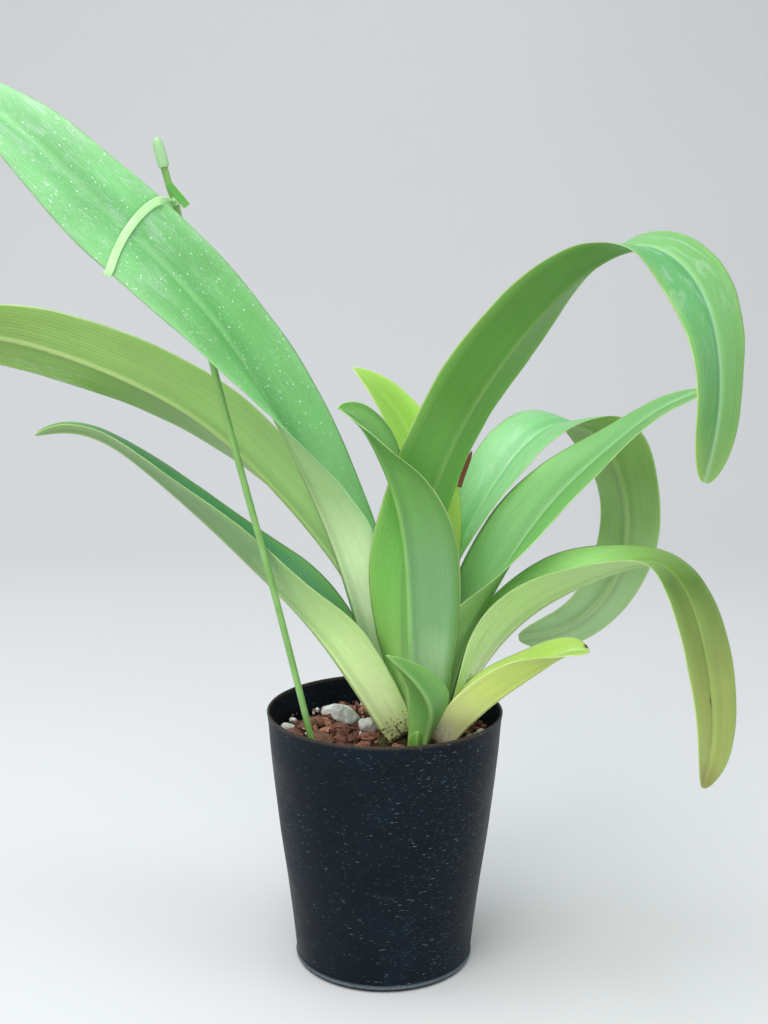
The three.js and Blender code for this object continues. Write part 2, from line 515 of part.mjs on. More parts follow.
CHIPS.forEach(([x, y, r, aspect, turn, thick, tiltX, tiltY, seed], i) => {
  const random = seeded(seed);
  const shape = new THREE.Shape();
  const corners = 7;
  for (let k = 0; k < corners; k += 1) {
    const a = (k + 0.25 * random()) / corners * Math.PI * 2;
    const q = r * (0.82 + 0.16 * random());
    const px = q * Math.cos(a), py = q * aspect * Math.sin(a);
    if (k === 0) shape.moveTo(px, py); else shape.lineTo(px, py);
  }
  const g = new THREE.ExtrudeGeometry(shape, { depth: thick, bevelEnabled: false });
  g.translate(0, 0, -thick / 2);
  g.rotateX(tiltX * Math.PI / 180);
  g.rotateY(tiltY * Math.PI / 180);
  g.rotateZ(turn * Math.PI / 180);
  g.computeBoundingBox();
  g.translate(x, y, BED_TOP + GAP - g.boundingBox.min.z);
  const chip = solidOf(g).subtract(rhizomeRoom).subtract(stakeRoom);
  place(`bark_chip_${String(i + 1).padStart(2, '0')}`, geometryOf(largest(chip)), CHIP);
});
for (const [name, [x, y, rx, ry, rz]] of Object.entries(STONES)) {
  const g = new THREE.IcosahedronGeometry(1, 1);
  g.scale(rx, ry, rz);
  g.rotateZ(0.5);
  g.translate(x, y, BED_TOP + GAP + rz);
  place(name, geometryOf(solidOf(g)), STONE);
}

// Tie: a flat band round the blade and the stake.
function bandSolid(grow) {
  const loop = new THREE.CatmullRomCurve3(TIE_LOOP.map((p) => new THREE.Vector3(p[0], p[1], p[2])), true, 'centripetal');
  const outs = new THREE.CatmullRomCurve3(TIE_LOOP.map((p) => new THREE.Vector3(p[3], p[4], p[5])), true, 'centripetal');
  const count = 40;
  const rings = [];
  for (let i = 0; i < count; i += 1) {
    const t = i / count;
    const p = loop.getPoint(t), T = loop.getTangent(t).normalize();
    const n = outs.getPoint(t); n.addScaledVector(T, -n.dot(T)).normalize();
    const w = new THREE.Vector3().crossVectors(T, n);
    rings.push([[-1, -1], [1, -1], [1, 1], [-1, 1]].map(([a, b]) => p.clone()
      .addScaledVector(w, a * (TIE_WIDTH / 2 + grow)).addScaledVector(n, b * (TIE_THICK / 2 + grow))));
  }
  const g = new ParametricGeometry((u, v, target) => {
    target.copy(rings[Math.round(v * count) % count][Math.round(u * 4) % 4]);
  }, 4, count);
  return solidOf(g);
}
const band = bandSolid(0).subtract(stakeRoom);
const bandRoom = bandSolid(GAP);
place('tie_band', geometryOf(largest(band)), TIE_GREEN);
{
  const shape = new THREE.Shape();
  const w = TIE_END_WIDTH / 2;
  shape.moveTo(-w, -0.35);
  shape.lineTo(w, -0.35);
  for (let k = 2; k >= 0; k -= 1) {
    const c = (k - 1) * (TIE_END_WIDTH / 3);
    const q = TIE_END_WIDTH / 6;
    shape.lineTo(c + q * 0.95, 0.1);
    shape.lineTo(c + q * 0.4, 0.5);
    shape.lineTo(c - q * 0.4, 0.5);
    shape.lineTo(c - q * 0.95, 0.1);
  }
  const a = new THREE.Vector3(...TIE_END[0]), b = new THREE.Vector3(...TIE_END[1]);
  const g = new THREE.ExtrudeGeometry(shape, { depth: a.distanceTo(b), bevelEnabled: false });
  const Z = b.clone().sub(a).normalize(), Y = new THREE.Vector3(0, -1, 0), X = new THREE.Vector3().crossVectors(Y, Z).normalize();
  g.applyMatrix4(new THREE.Matrix4().makeBasis(X, Y, Z).setPosition(a));
  place('tie_end', geometryOf(largest(solidOf(g).subtract(bandRoom).subtract(stakeRoom))), STAKE_GREEN);
}

// Leaves, outermost first: each one is cut clear of those already placed.
const ORDER = [
  ['sheath_leaf_front', 8], ['scale_leaf_front', 6], ['leaf_lower_left', 20], ['leaf_short_yellow', 12], ['leaf_front_center', 16],
  ['sheath_leaf_side', 6], ['leaf_drooping_right', 22], ['leaf_straight_right', 16], ['leaf_upper_left', 22], ['leaf_arching_right', 28],
  ['leaf_middle_left', 20], ['leaf_rear_right', 26], ['leaf_young_center', 12], ['dried_bract', 6],
];
const placed = [rhizomeRoom, stakeRoom, bandRoom];
for (const [name, stations] of ORDER) {
  const rows = LEAVES[name];
  let leaf = leafSolid(rows, stations);
  for (const room of placed) if (boxesMeet(leaf, room)) leaf = leaf.subtract(room);
  place(name, geometryOf(largest(leaf)), name.includes('yellow') || name.includes('young') ? PALE_GREEN : name === 'dried_bract' ? DRY : GREEN);
  placed.push(leafSolid(rows, stations, GAP + 0.2));
}

export default plant;
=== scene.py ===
# Potted slipper orchid: the look of every surface, in metres, +Z up, built
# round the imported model. All shapes are computed here from control tables.
import math
import random

import bpy
import numpy as np
from mathutils import Matrix, Vector, noise
from mathutils.bvhtree import BVHTree


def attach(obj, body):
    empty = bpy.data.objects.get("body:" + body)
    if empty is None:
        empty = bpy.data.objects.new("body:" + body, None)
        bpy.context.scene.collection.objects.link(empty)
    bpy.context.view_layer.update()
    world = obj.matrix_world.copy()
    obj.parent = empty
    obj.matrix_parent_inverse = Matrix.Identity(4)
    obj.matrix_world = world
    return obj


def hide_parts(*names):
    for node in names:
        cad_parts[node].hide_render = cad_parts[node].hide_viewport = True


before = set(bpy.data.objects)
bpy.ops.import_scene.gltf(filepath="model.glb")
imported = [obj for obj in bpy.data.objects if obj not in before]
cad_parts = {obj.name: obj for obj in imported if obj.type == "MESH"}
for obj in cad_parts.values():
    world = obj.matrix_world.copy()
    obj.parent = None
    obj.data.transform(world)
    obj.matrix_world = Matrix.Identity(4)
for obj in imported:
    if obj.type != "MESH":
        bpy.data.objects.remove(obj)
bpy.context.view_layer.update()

MM = 0.001

# ------------------------------------------------------------------- tables
# Leaves. Each row is one control point of a uniform cubic B-spline, base to
# tip: midrib x, y, z (mm), upper-face direction, half width, and the degrees
# by which each half rises from flat, at the keel and at the margin.
LEAVES = {
    "leaf_upper_left": [
        (2.7, -9.8, 121.8, 0.943, -0.249, 0.221, 12.7, 75, 68),
        (-10.3, -14.2, 169.0, 0.961, -0.073, 0.268, 19.5, 78, 72),
        (-22.3, -18.3, 214.5, 0.943, 0.027, 0.332, 24.7, 71, 65),
        (-38.3, -23.9, 255.4, 0.9, -0.224, 0.373, 25.8, 57, 50),
        (-56.9, -30.0, 293.3, 0.74, -0.584, 0.333, 24.7, 40, 32),
        (-77.0, -36.3, 327.8, 0.584, -0.756, 0.296, 22.9, 28, 16),
        (-101.8, -43.1, 357.2, 0.368, -0.914, 0.168, 21.7, 20, 5),
        (-129.2, -48.0, 382.7, 0.128, -0.991, 0.024, 20.3, 15, -1),
        (-153.4, -49.7, 407.7, 0.102, -0.987, 0.125, 17.2, 13, -5),
        (-178.2, -48.4, 427.5, 0.291, -0.824, 0.487, 11.7, 9, -7),
        (-206.0, -46.4, 444.6, 0.38, -0.629, 0.678, 5.2, 6, -8),
    ],
    "leaf_middle_left": [
        (8.1, 0.2, 120.9, 0.964, 0.149, 0.22, 8.7, 64, 52),
        (-0.8, 1.8, 158.8, 0.892, 0.327, 0.311, 14.3, 60, 43),
        (-15.1, 2.0, 194.6, 0.765, 0.483, 0.425, 19.6, 49, 32),
        (-37.7, 1.6, 225.8, 0.619, 0.611, 0.493, 21.8, 41, 27),
        (-63.3, 1.1, 254.5, 0.479, 0.736, 0.478, 23.2, 37, 27),
        (-90.4, 1.4, 280.0, 0.31, 0.862, 0.4, 23.5, 34, 25),
        (-122.7, 2.5, 297.8, 0.244, 0.876, 0.416, 22.3, 30, 19),
        (-157.0, 4.9, 311.3, 0.196, 0.917, 0.347, 20.2, 24, 10),
        (-191.6, 8.5, 320.9, 0.122, 0.939, 0.323, 17.3, 18, 2),
        (-226.0, 12.8, 320.9, -0.001, 0.883, 0.469, 12.7, 13, -2),
        (-258.6, 17.0, 307.4, -0.164, 0.759, 0.63, 6.5, 9, -4),
    ],
    "leaf_lower_left": [
        (3.2, -15.9, 119.8, 0.772, 0.402, 0.492, 14.6, 71, 63),
        (-12.4, -17.6, 144.7, 0.777, 0.368, 0.511, 19.1, 70, 63),
        (-27.5, -16.8, 168.5, 0.783, 0.199, 0.589, 22.1, 65, 60),
        (-44.3, -13.9, 188.3, 0.703, -0.186, 0.686, 22.9, 57, 54),
        (-62.9, -11.0, 205.9, 0.685, -0.044, 0.727, 21.7, 50, 45),
        (-81.3, -7.3, 223.4, 0.668, 0.062, 0.742, 19.5, 43, 35),
        (-100.2, -3.4, 239.9, 0.633, 0.0, 0.774, 16.9, 37, 25),
        (-119.1, 1.4, 255.2, 0.579, 0.063, 0.813, 14.5, 31, 16),
        (-137.7, 7.0, 268.4, 0.419, 0.149, 0.896, 12.3, 28, 13),
        (-158.0, 13.1, 274.2, 0.081, 0.088, 0.993, 10.2, 29, 17),
        (-177.9, 19.9, 269.4, -0.314, -0.24, 0.919, 7.1, 31, 22),
    ],
    "leaf_front_center": [
        (18.6, -27.1, 121.9, 0.499, 0.852, 0.16, 13.9, 60, 45),
        (14.3, -29.8, 149.5, 0.483, 0.864, 0.14, 19.3, 52, 36),
        (11.7, -32.8, 176.8, 0.494, 0.862, 0.118, 23.8, 48, 30),
        (11.4, -35.7, 203.4, 0.569, 0.814, 0.12, 25.2, 47, 28),
        (9.4, -38.1, 228.5, 0.72, 0.671, 0.18, 24.4, 47, 28),
        (4.7, -39.6, 251.3, 0.865, 0.405, 0.297, 21.2, 47, 28),
        (-3.2, -41.6, 270.1, 0.912, -0.096, 0.398, 16.0, 45, 23),
        (-11.4, -46.8, 285.5, 0.782, -0.371, 0.501, 10.8, 37, 15),
        (-21.9, -54.4, 291.9, 0.613, -0.308, 0.727, 5.8, 25, 8),
    ],
    "leaf_arching_right": [
        (13.5, -9.7, 121.0, 0.087, 0.994, 0.062, 9.7, 62, 50),
        (11.6, -11.8, 155.8, -0.078, 0.993, 0.09, 15.6, 52, 37),
        (10.5, -15.5, 189.8, -0.28, 0.95, 0.137, 20.1, 43, 26),
        (14.5, -19.3, 222.8, -0.47, 0.856, 0.213, 21.9, 36, 18),
        (24.5, -22.6, 254.6, -0.549, 0.783, 0.292, 22.9, 33, 14),
        (37.6, -25.7, 285.4, -0.536, 0.766, 0.355, 23.5, 31, 14),
        (55.5, -28.6, 313.5, -0.418, 0.818, 0.396, 23.7, 30, 14),
        (75.5, -31.2, 338.9, -0.45, 0.664, 0.597, 23.1, 29, 14),
        (96.9, -33.7, 358.8, -0.353, 0.352, 0.867, 22.2, 23, 7),
        (120.0, -40.9, 368.3, -0.002, -0.312, 0.95, 21.1, 14, -1),
        (140.2, -52.1, 351.6, 0.252, -0.727, 0.639, 20.1, 7, -6),
        (147.8, -63.6, 323.2, 0.592, -0.74, 0.319, 18.6, 4, -6),
        (147.5, -72.9, 292.6, 0.712, -0.694, 0.11, 16.3, 4, -5),
        (139.6, -79.9, 262.2, 0.593, -0.805, 0.03, 12.1, 4, -2),
    ],
    "leaf_young_center": [
        (14.6, 0.1, 121.2, 0.341, -0.937, 0.075, 7.1, 55, 42),
        (15.2, 2.6, 152.3, 0.319, -0.945, 0.067, 12.6, 42, 28),
        (15.9, 5.0, 183.1, 0.299, -0.953, 0.05, 18.8, 34, 18),
        (18.6, 6.8, 212.9, 0.29, -0.956, 0.036, 20.0, 30, 13),
        (21.1, 8.0, 240.7, 0.311, -0.949, 0.057, 18.3, 28, 10),
        (15.8, 8.2, 266.0, 0.384, -0.912, 0.143, 14.5, 26, 8),
        (2.8, 7.0, 288.6, 0.508, -0.797, 0.326, 10.6, 23, 7),
        (-16.5, 2.4, 305.6, 0.632, -0.504, 0.588, 5.6, 22, 10),
    ],
    "leaf_rear_right": [
        (17.8, 3.0, 121.7, -0.513, -0.851, 0.116, 8.0, 61, 49),
        (22.3, 5.5, 157.2, -0.756, -0.615, 0.225, 13.8, 49, 33),
        (30.0, 9.1, 191.3, -0.863, -0.359, 0.357, 19.9, 39, 22),
        (42.7, 14.5, 222.8, -0.779, -0.36, 0.514, 21.4, 31, 13),
        (58.6, 22.7, 250.7, -0.568, -0.437, 0.697, 22.0, 25, 8),
        (76.9, 33.9, 270.9, -0.274, -0.332, 0.903, 22.3, 23, 7),
        (98.7, 46.8, 276.0, 0.083, 0.051, 0.995, 22.0, 20, 6),
        (119.7, 61.3, 262.9, 0.253, 0.755, 0.606, 21.5, 18, 7),
        (131.9, 70.7, 233.6, 0.627, 0.714, 0.311, 19.1, 19, 8),
        (135.2, 76.8, 201.9, 0.33, 0.92, 0.2, 17.0, 18, 5),
        (125.7, 81.4, 172.8, 0.1, 0.99, 0.08, 14.4, 12, 0),
        (104.5, 83.6, 151.4, 0.01, 0.985, 0.12, 12.0, 7, -5),
        (75.3, 84.9, 146.9, 0.012, 0.995, 0.102, 8.4, 2, -9),
    ],
    "leaf_straight_right": [
        (27.2, -20.2, 122.1, -0.978, 0.047, 0.203, 14.0, 65, 56),
        (33.6, -19.3, 151.5, -0.954, 0.154, 0.259, 17.5, 62, 49),
        (41.9, -17.6, 177.8, -0.918, 0.166, 0.36, 20.5, 55, 42),
        (53.9, -14.5, 199.6, -0.787, -0.367, 0.495, 22.2, 46, 34),
        (66.4, -11.2, 220.6, -0.637, -0.551, 0.54, 22.1, 38, 25),
        (80.8, -7.2, 240.2, -0.587, -0.513, 0.627, 20.8, 31, 16),
        (98.5, -3.1, 257.0, -0.556, -0.409, 0.723, 18.4, 26, 9),
        (117.4, 1.9, 272.5, -0.542, -0.24, 0.805, 15.0, 22, 4),
        (136.9, 7.3, 286.9, -0.441, -0.218, 0.871, 10.8, 18, 2),
        (159.3, 11.7, 295.0, -0.259, -0.405, 0.877, 5.9, 14, 0),
    ],
    "leaf_drooping_right": [
        (27.8, -14.2, 123.1, -0.571, -0.724, 0.386, 12.7, 61, 49),
        (42.7, -11.3, 149.7, -0.723, -0.435, 0.537, 17.3, 61, 50),
        (57.7, -10.7, 172.6, -0.729, 0.087, 0.679, 20.9, 61, 52),
        (75.4, -14.0, 190.0, -0.619, 0.106, 0.778, 22.7, 59, 50),
        (95.2, -18.6, 202.1, -0.494, -0.02, 0.869, 22.5, 48, 37),
        (114.0, -23.2, 211.2, -0.259, 0.056, 0.964, 20.7, 32, 17),
        (130.8, -28.2, 217.0, 0.194, -0.002, 0.981, 19.3, 18, 0),
        (142.4, -37.0, 206.5, 0.527, -0.419, 0.739, 18.4, 13, -5),
        (148.9, -47.1, 186.1, 0.626, -0.625, 0.467, 18.2, 12, -2),
        (152.5, -56.7, 162.6, 0.652, -0.688, 0.318, 17.7, 12, 1),
        (153.0, -66.0, 139.5, 0.674, -0.711, 0.201, 15.3, 11, 5),
        (146.1, -75.7, 119.6, 0.693, -0.715, 0.091, 9.5, 13, 9),
    ],
    "leaf_short_yellow": [
        (30.3, -28.3, 121.0, -0.742, 0.25, 0.621, 12.6, 67, 61),
        (40.5, -30.4, 134.3, -0.711, 0.182, 0.68, 15.9, 64, 59),
        (51.8, -31.8, 146.1, -0.65, 0.147, 0.745, 18.0, 61, 55),
        (63.9, -32.4, 155.3, -0.582, 0.222, 0.782, 17.7, 56, 46),
        (74.8, -32.2, 162.9, -0.559, 0.132, 0.818, 15.2, 47, 33),
        (83.7, -32.6, 169.4, -0.494, -0.117, 0.862, 12.3, 35, 21),
        (91.2, -34.0, 173.4, -0.289, -0.249, 0.925, 8.9, 25, 12),
        (98.3, -36.1, 173.0, -0.037, -0.294, 0.955, 4.5, 16, 6),
    ],
    "sheath_leaf_front": [
        (17.7, -36.0, 119.6, -0.456, 0.79, 0.409, 7.0, 35, 53),
        (22.3, -40.0, 137.8, -0.242, 0.886, 0.396, 11.4, 32, 48),
        (22.2, -44.4, 147.4, 0.008, 0.939, 0.345, 12.5, 31, 43),
        (18.0, -47.4, 156.8, 0.126, 0.95, 0.287, 10.5, 29, 38),
        (10.4, -48.6, 166.2, 0.253, 0.909, 0.332, 6.5, 27, 34),
        (0.4, -48.4, 174.5, 0.395, 0.797, 0.457, 2.1, 23, 27),
    ],
    "scale_leaf_front": [
        (15.7, -38.0, 120.3, 0.0, 0.976, 0.217, 5.2, 38, 48),
        (15.7, -39.5, 124.5, 0.0, 0.952, 0.305, 6.2, 38, 48),
        (15.6, -40.5, 129.4, 0.0, 0.921, 0.39, 5.4, 36, 44),
        (16.0, -40.0, 134.2, 0.0, 0.884, 0.468, 2.4, 30, 30),
    ],
    "sheath_leaf_side": [
        (29.7, -17.0, 121.7, -0.598, 0.717, 0.359, 5, 40, 46),
        (32.5, -18.0, 134.6, -0.585, 0.663, 0.468, 6.6, 38, 44),
        (37.3, -18.0, 146.5, -0.565, 0.602, 0.565, 5, 34, 38),
        (44.1, -17.0, 155.8, -0.539, 0.539, 0.647, 2, 28, 28),
    ],
    "dried_bract": [
        (36.5, 4.0, 246.5, 0.309, -0.928, 0.206, 1.3, 25, 25),
        (38.1, 4.0, 252.6, 0.309, -0.928, 0.206, 1.5, 25, 25),
        (40.3, 4.0, 258.7, 0.309, -0.928, 0.206, 1.4, 25, 25),
        (42.7, 4.0, 264.7, 0.309, -0.928, 0.206, 0.9, 20, 20),
    ],
}
# Stake centre line, from the bark to the top under the cap.
STAKE = [
    (-13.1, -23.7, 14), (-25.0, -24.9, 69), (-36.2, -26, 124.5), (-48, -27.5, 175.9), (-57.3, -28, 213.8),
    (-69.5, -28, 260.9), (-81.4, -29, 309.3), (-88.4, -30.2, 340.3), (-93.6, -32.2, 366.7),
    (-96.7, -33.8, 383.2), (-98.6, -34.2, 388.6), (-101.2, -35, 398.4), (-103.6, -35.5, 408.4),
]
CAP_FOOT, CAP_TOP = (-101.35, -35.05, 399.0), (-104.5, -35.75, 412.2)
# Tie: points of its closed loop and their outward directions.
TIE_LOOP = [
    (-124.94, -55.0, 351.03, -0.35, -0.4, -0.85),
    (-123.47, -55.4, 353.46, 0.19, -0.94, 0.29),
    (-121.92, -53.47, 358.39, 0.25, -0.92, 0.29),
    (-120.29, -51.55, 362.85, 0.3, -0.91, 0.28),
    (-118.38, -49.39, 367.1, 0.31, -0.93, 0.22),
    (-115.88, -47.71, 371.31, 0.25, -0.96, 0.1),
    (-112.41, -47.17, 375.76, 0.19, -0.98, -0.01),
    (-108.43, -46.91, 379.88, 0.19, -0.98, -0.04),
    (-104.75, -46.27, 382.61, 0.23, -0.97, -0.02),
    (-101.75, -45.53, 383.8, 0.26, -0.96, -0.0),
    (-97.74, -36.11, 383.69, -0.39, -0.9, -0.19),
    (-96.32, -36.3, 384.02, 0.19, -0.98, -0.06),
    (-94.93, -35.47, 384.44, 0.76, -0.64, 0.12),
    (-94.41, -33.9, 384.74, 0.97, -0.0, 0.24),
    (-95.01, -32.33, 384.77, 0.73, 0.64, 0.25),
    (-116.84, -44.05, 370.93, -0.25, 0.96, -0.1),
    (-119.33, -46.76, 366.4, -0.31, 0.93, -0.22),
    (-121.2, -48.93, 362.02, -0.3, 0.91, -0.28),
    (-122.65, -50.79, 357.56, -0.25, 0.92, -0.29),
    (-124.02, -52.68, 352.62, -0.19, 0.94, -0.29),
]
TIE_END = ((-99.3, -38.6, 391.9), (-90.8, -38.6, 381.7))
# Loose chips: x, y, radius, aspect, turn, thickness, two tilts, seed.
CHIPS = [
    (6.4, 40.5, 9.5, 0.59, 51, 3.0, 6, 0, 81),
    (-31.5, -11.0, 9, 0.8, 145, 4.0, 4, -2, 97),
    (11.8, 18.6, 8.5, 0.68, 20, 3.1, -7, -5, 51),
    (24.4, 35.7, 8.5, 0.58, 173, 3.8, 6, 7, 84),
    (-2.0, -38.3, 8, 0.53, 44, 3.8, 1, 2, 86),
    (-24.2, -28.5, 8, 0.7, 172, 3.7, -5, -2, 24),
    (-47.8, -4.7, 7.5, 0.66, 161, 4.2, 6, 1, 57),
    (44.4, 13.4, 7.5, 0.51, 78, 3.4, -7, 3, 25),
    (-8.2, -5.2, 7, 0.55, 20, 3.0, 3, -1, 31),
    (-39.1, 14.1, 7, 0.61, 61, 3.1, -1, -2, 83),
    (-23.5, 5.2, 6.5, 0.76, 18, 4.3, 4, 7, 75),
    (32.5, -0.2, 6.5, 0.61, 57, 3.6, -1, -4, 57),
    (-4.3, 20.4, 6, 0.79, 39, 3.3, -7, -1, 17),
    (6.8, -25.0, 6, 0.56, 80, 3.7, 2, 5, 41),
    (25.9, 13.7, 5.5, 0.54, 99, 3.5, -5, 7, 44),
    (-20.3, -43.4, 5.5, 0.76, 33, 3.0, -1, -6, 78),
    (-8.1, 33.2, 5, 0.59, 91, 3.4, -6, 2, 27),
    (38.7, -20.5, 5, 0.58, 13, 3.8, 1, 0, 8),
]
STONES = {
    "stone_round_white": (-8.3, 8.2, 5.2, 4.8, 3.6),
    "stone_large_grey_white": (-20.5, 21.0, 8.2, 6.0, 4.4),
    "stone_flat_white": (-29, 35.5, 5.0, 4.2, 2.8),
    "stone_rim_left": (-50.2, 10.2, 3.6, 2.4, 2.2),
    "stone_small_back": (-11.4, 44.5, 2.0, 2.2, 1.6),
    "stone_small_left": (-48.0, 23.0, 2.0, 1.8, 1.6),
    "stone_small_right": (49.2, 0.5, 2.4, 2.2, 1.7),
    "stone_grey_right": (43.2, -10.3, 3.0, 2.7, 2.1),
}
# Brown marks on two leaves: across mm, along mm, half sizes, colour.
MARKS_DROOP = ((-2.5, 217.8, 0.9, 3.1, "5a2c14"),)
MARKS_SHORT = ((3.4, 86.6, 1.6, 1.5, "3c2412"),)
OUTSIDE = [
    (43.4, 0), (45.0, 0.7), (45.8, 2.4), (45.8, 3.6), (45.5, 5.0), (47.4, 23.3), (50.2, 46), (53.4, 68.4),
    (56.6, 97), (58.2, 113), (59.1, 126), (59.7, 131.2), (60.0, 132.2), (59.6, 132.9),
]
ROOTS = [
    [(2, -4, 110), (-12, 2, 98), (-24, 10, 78), (-30, 18, 52), (-26, 26, 26), (-14, 31, 9)],
    [(8, 2, 108), (10, 16, 94), (14, 28, 70), (20, 34, 44), (28, 28, 18), (33, 14, 7.5)],
    [(28, -16, 108), (38, -10, 92), (42, -2, 68), (38, 8, 42), (36, -6, 20), (30, -20, 8)],
    [(20, -28, 108), (14, -38, 92), (2, -42, 66), (-6, -38, 40), (-4, -30, 18), (6, -28, 7.5)],
    [(14, -14, 106), (8, -8, 84), (6, 4, 58), (0, 6, 32), (4, 2, 12)],
]


# ------------------------------------------------------------- mesh helpers
def hexa(text):
    """An sRGB hex colour as linear RGBA."""
    out = []
    for i in (0, 2, 4):
        c = int(text[i:i + 2], 16) / 255
        out.append(c / 12.92 if c <= 0.04045 else ((c + 0.055) / 1.055) ** 2.4)
    return (*out, 1.0)


def new_object(name, points_mm, faces, material, smooth=True, attributes=None, mat_index=None, sharp=None):
    mesh = bpy.data.meshes.new(name)
    pts = np.asarray(points_mm, float) * MM
    mesh.from_pydata(pts.tolist(), [], [list(map(int, f)) for f in faces])
    mesh.validate(clean_customdata=False)
    for m in material if isinstance(material, (list, tuple)) else [material]:
        mesh.materials.append(m)
    if mat_index is not None:
        mesh.polygons.foreach_set("material_index", np.asarray(mat_index, np.int32))
    mesh.polygons.foreach_set("use_smooth", [smooth] * len(mesh.polygons))
    for key, values in (attributes or {}).items():
        a = mesh.attributes.new(key, "FLOAT_VECTOR", "POINT")
        a.data.foreach_set("vector", np.asarray(values, np.float32).ravel())
    obj = bpy.data.objects.new(name, mesh)
    bpy.context.scene.collection.objects.link(obj)
    if sharp is not None:
        mesh.update()
        mesh.set_sharp_from_angle(angle=math.radians(sharp))
    mesh.update()
    return obj


def grid_faces(rows, cols, close_cols=False, offset=0, flip=False):
    faces = []
    last = cols if close_cols else cols - 1
    for i in range(rows - 1):
        for j in range(last):
            a, b = i * cols + j, i * cols + (j + 1) % cols
            c, d = b + cols, a + cols
            faces.append([x + offset for x in ((d, c, b, a) if flip else (a, b, c, d))])
    return faces


def unit(v):
    v = np.asarray(v, float)
    return v / np.maximum(np.linalg.norm(v, axis=-1, keepdims=True), 1e-12)


def fbm(points, scale, octaves=3, seed=0.0):
    """Smooth noise about -1..1 at each point (mm)."""
    out = np.empty(len(points))
    for i, p in enumerate(points):
        v = Vector((p[0] / scale + seed * 7.31, p[1] / scale - seed * 3.17, p[2] / scale + seed * 1.93))
        out[i] = noise.fractal(v, 0.9, 2.1, octaves, noise_basis="PERLIN_ORIGINAL")
    return out


def catmull(points, count, closed=False):
    p = np.asarray(points, float)
    n = len(p)
    out = []
    spans = n if closed else n - 1
    for k in range(count):
        u = k / (count if closed else count - 1) * spans
        i = min(int(u), spans - 1)
        f = u - i
        if closed:
            a, b, c, d = p[(i - 1) % n], p[i % n], p[(i + 1) % n], p[(i + 2) % n]
        else:
            b, c = p[i], p[i + 1]
            a = p[i - 1] if i > 0 else 2 * b - c
            d = p[i + 2] if i + 2 < n else 2 * c - b
        out.append(0.5 * (2 * b + (c - a) * f + (2 * a - 5 * b + 4 * c - d) * f * f + (3 * b - a - 3 * c + d) * f ** 3))
    return np.array(out)


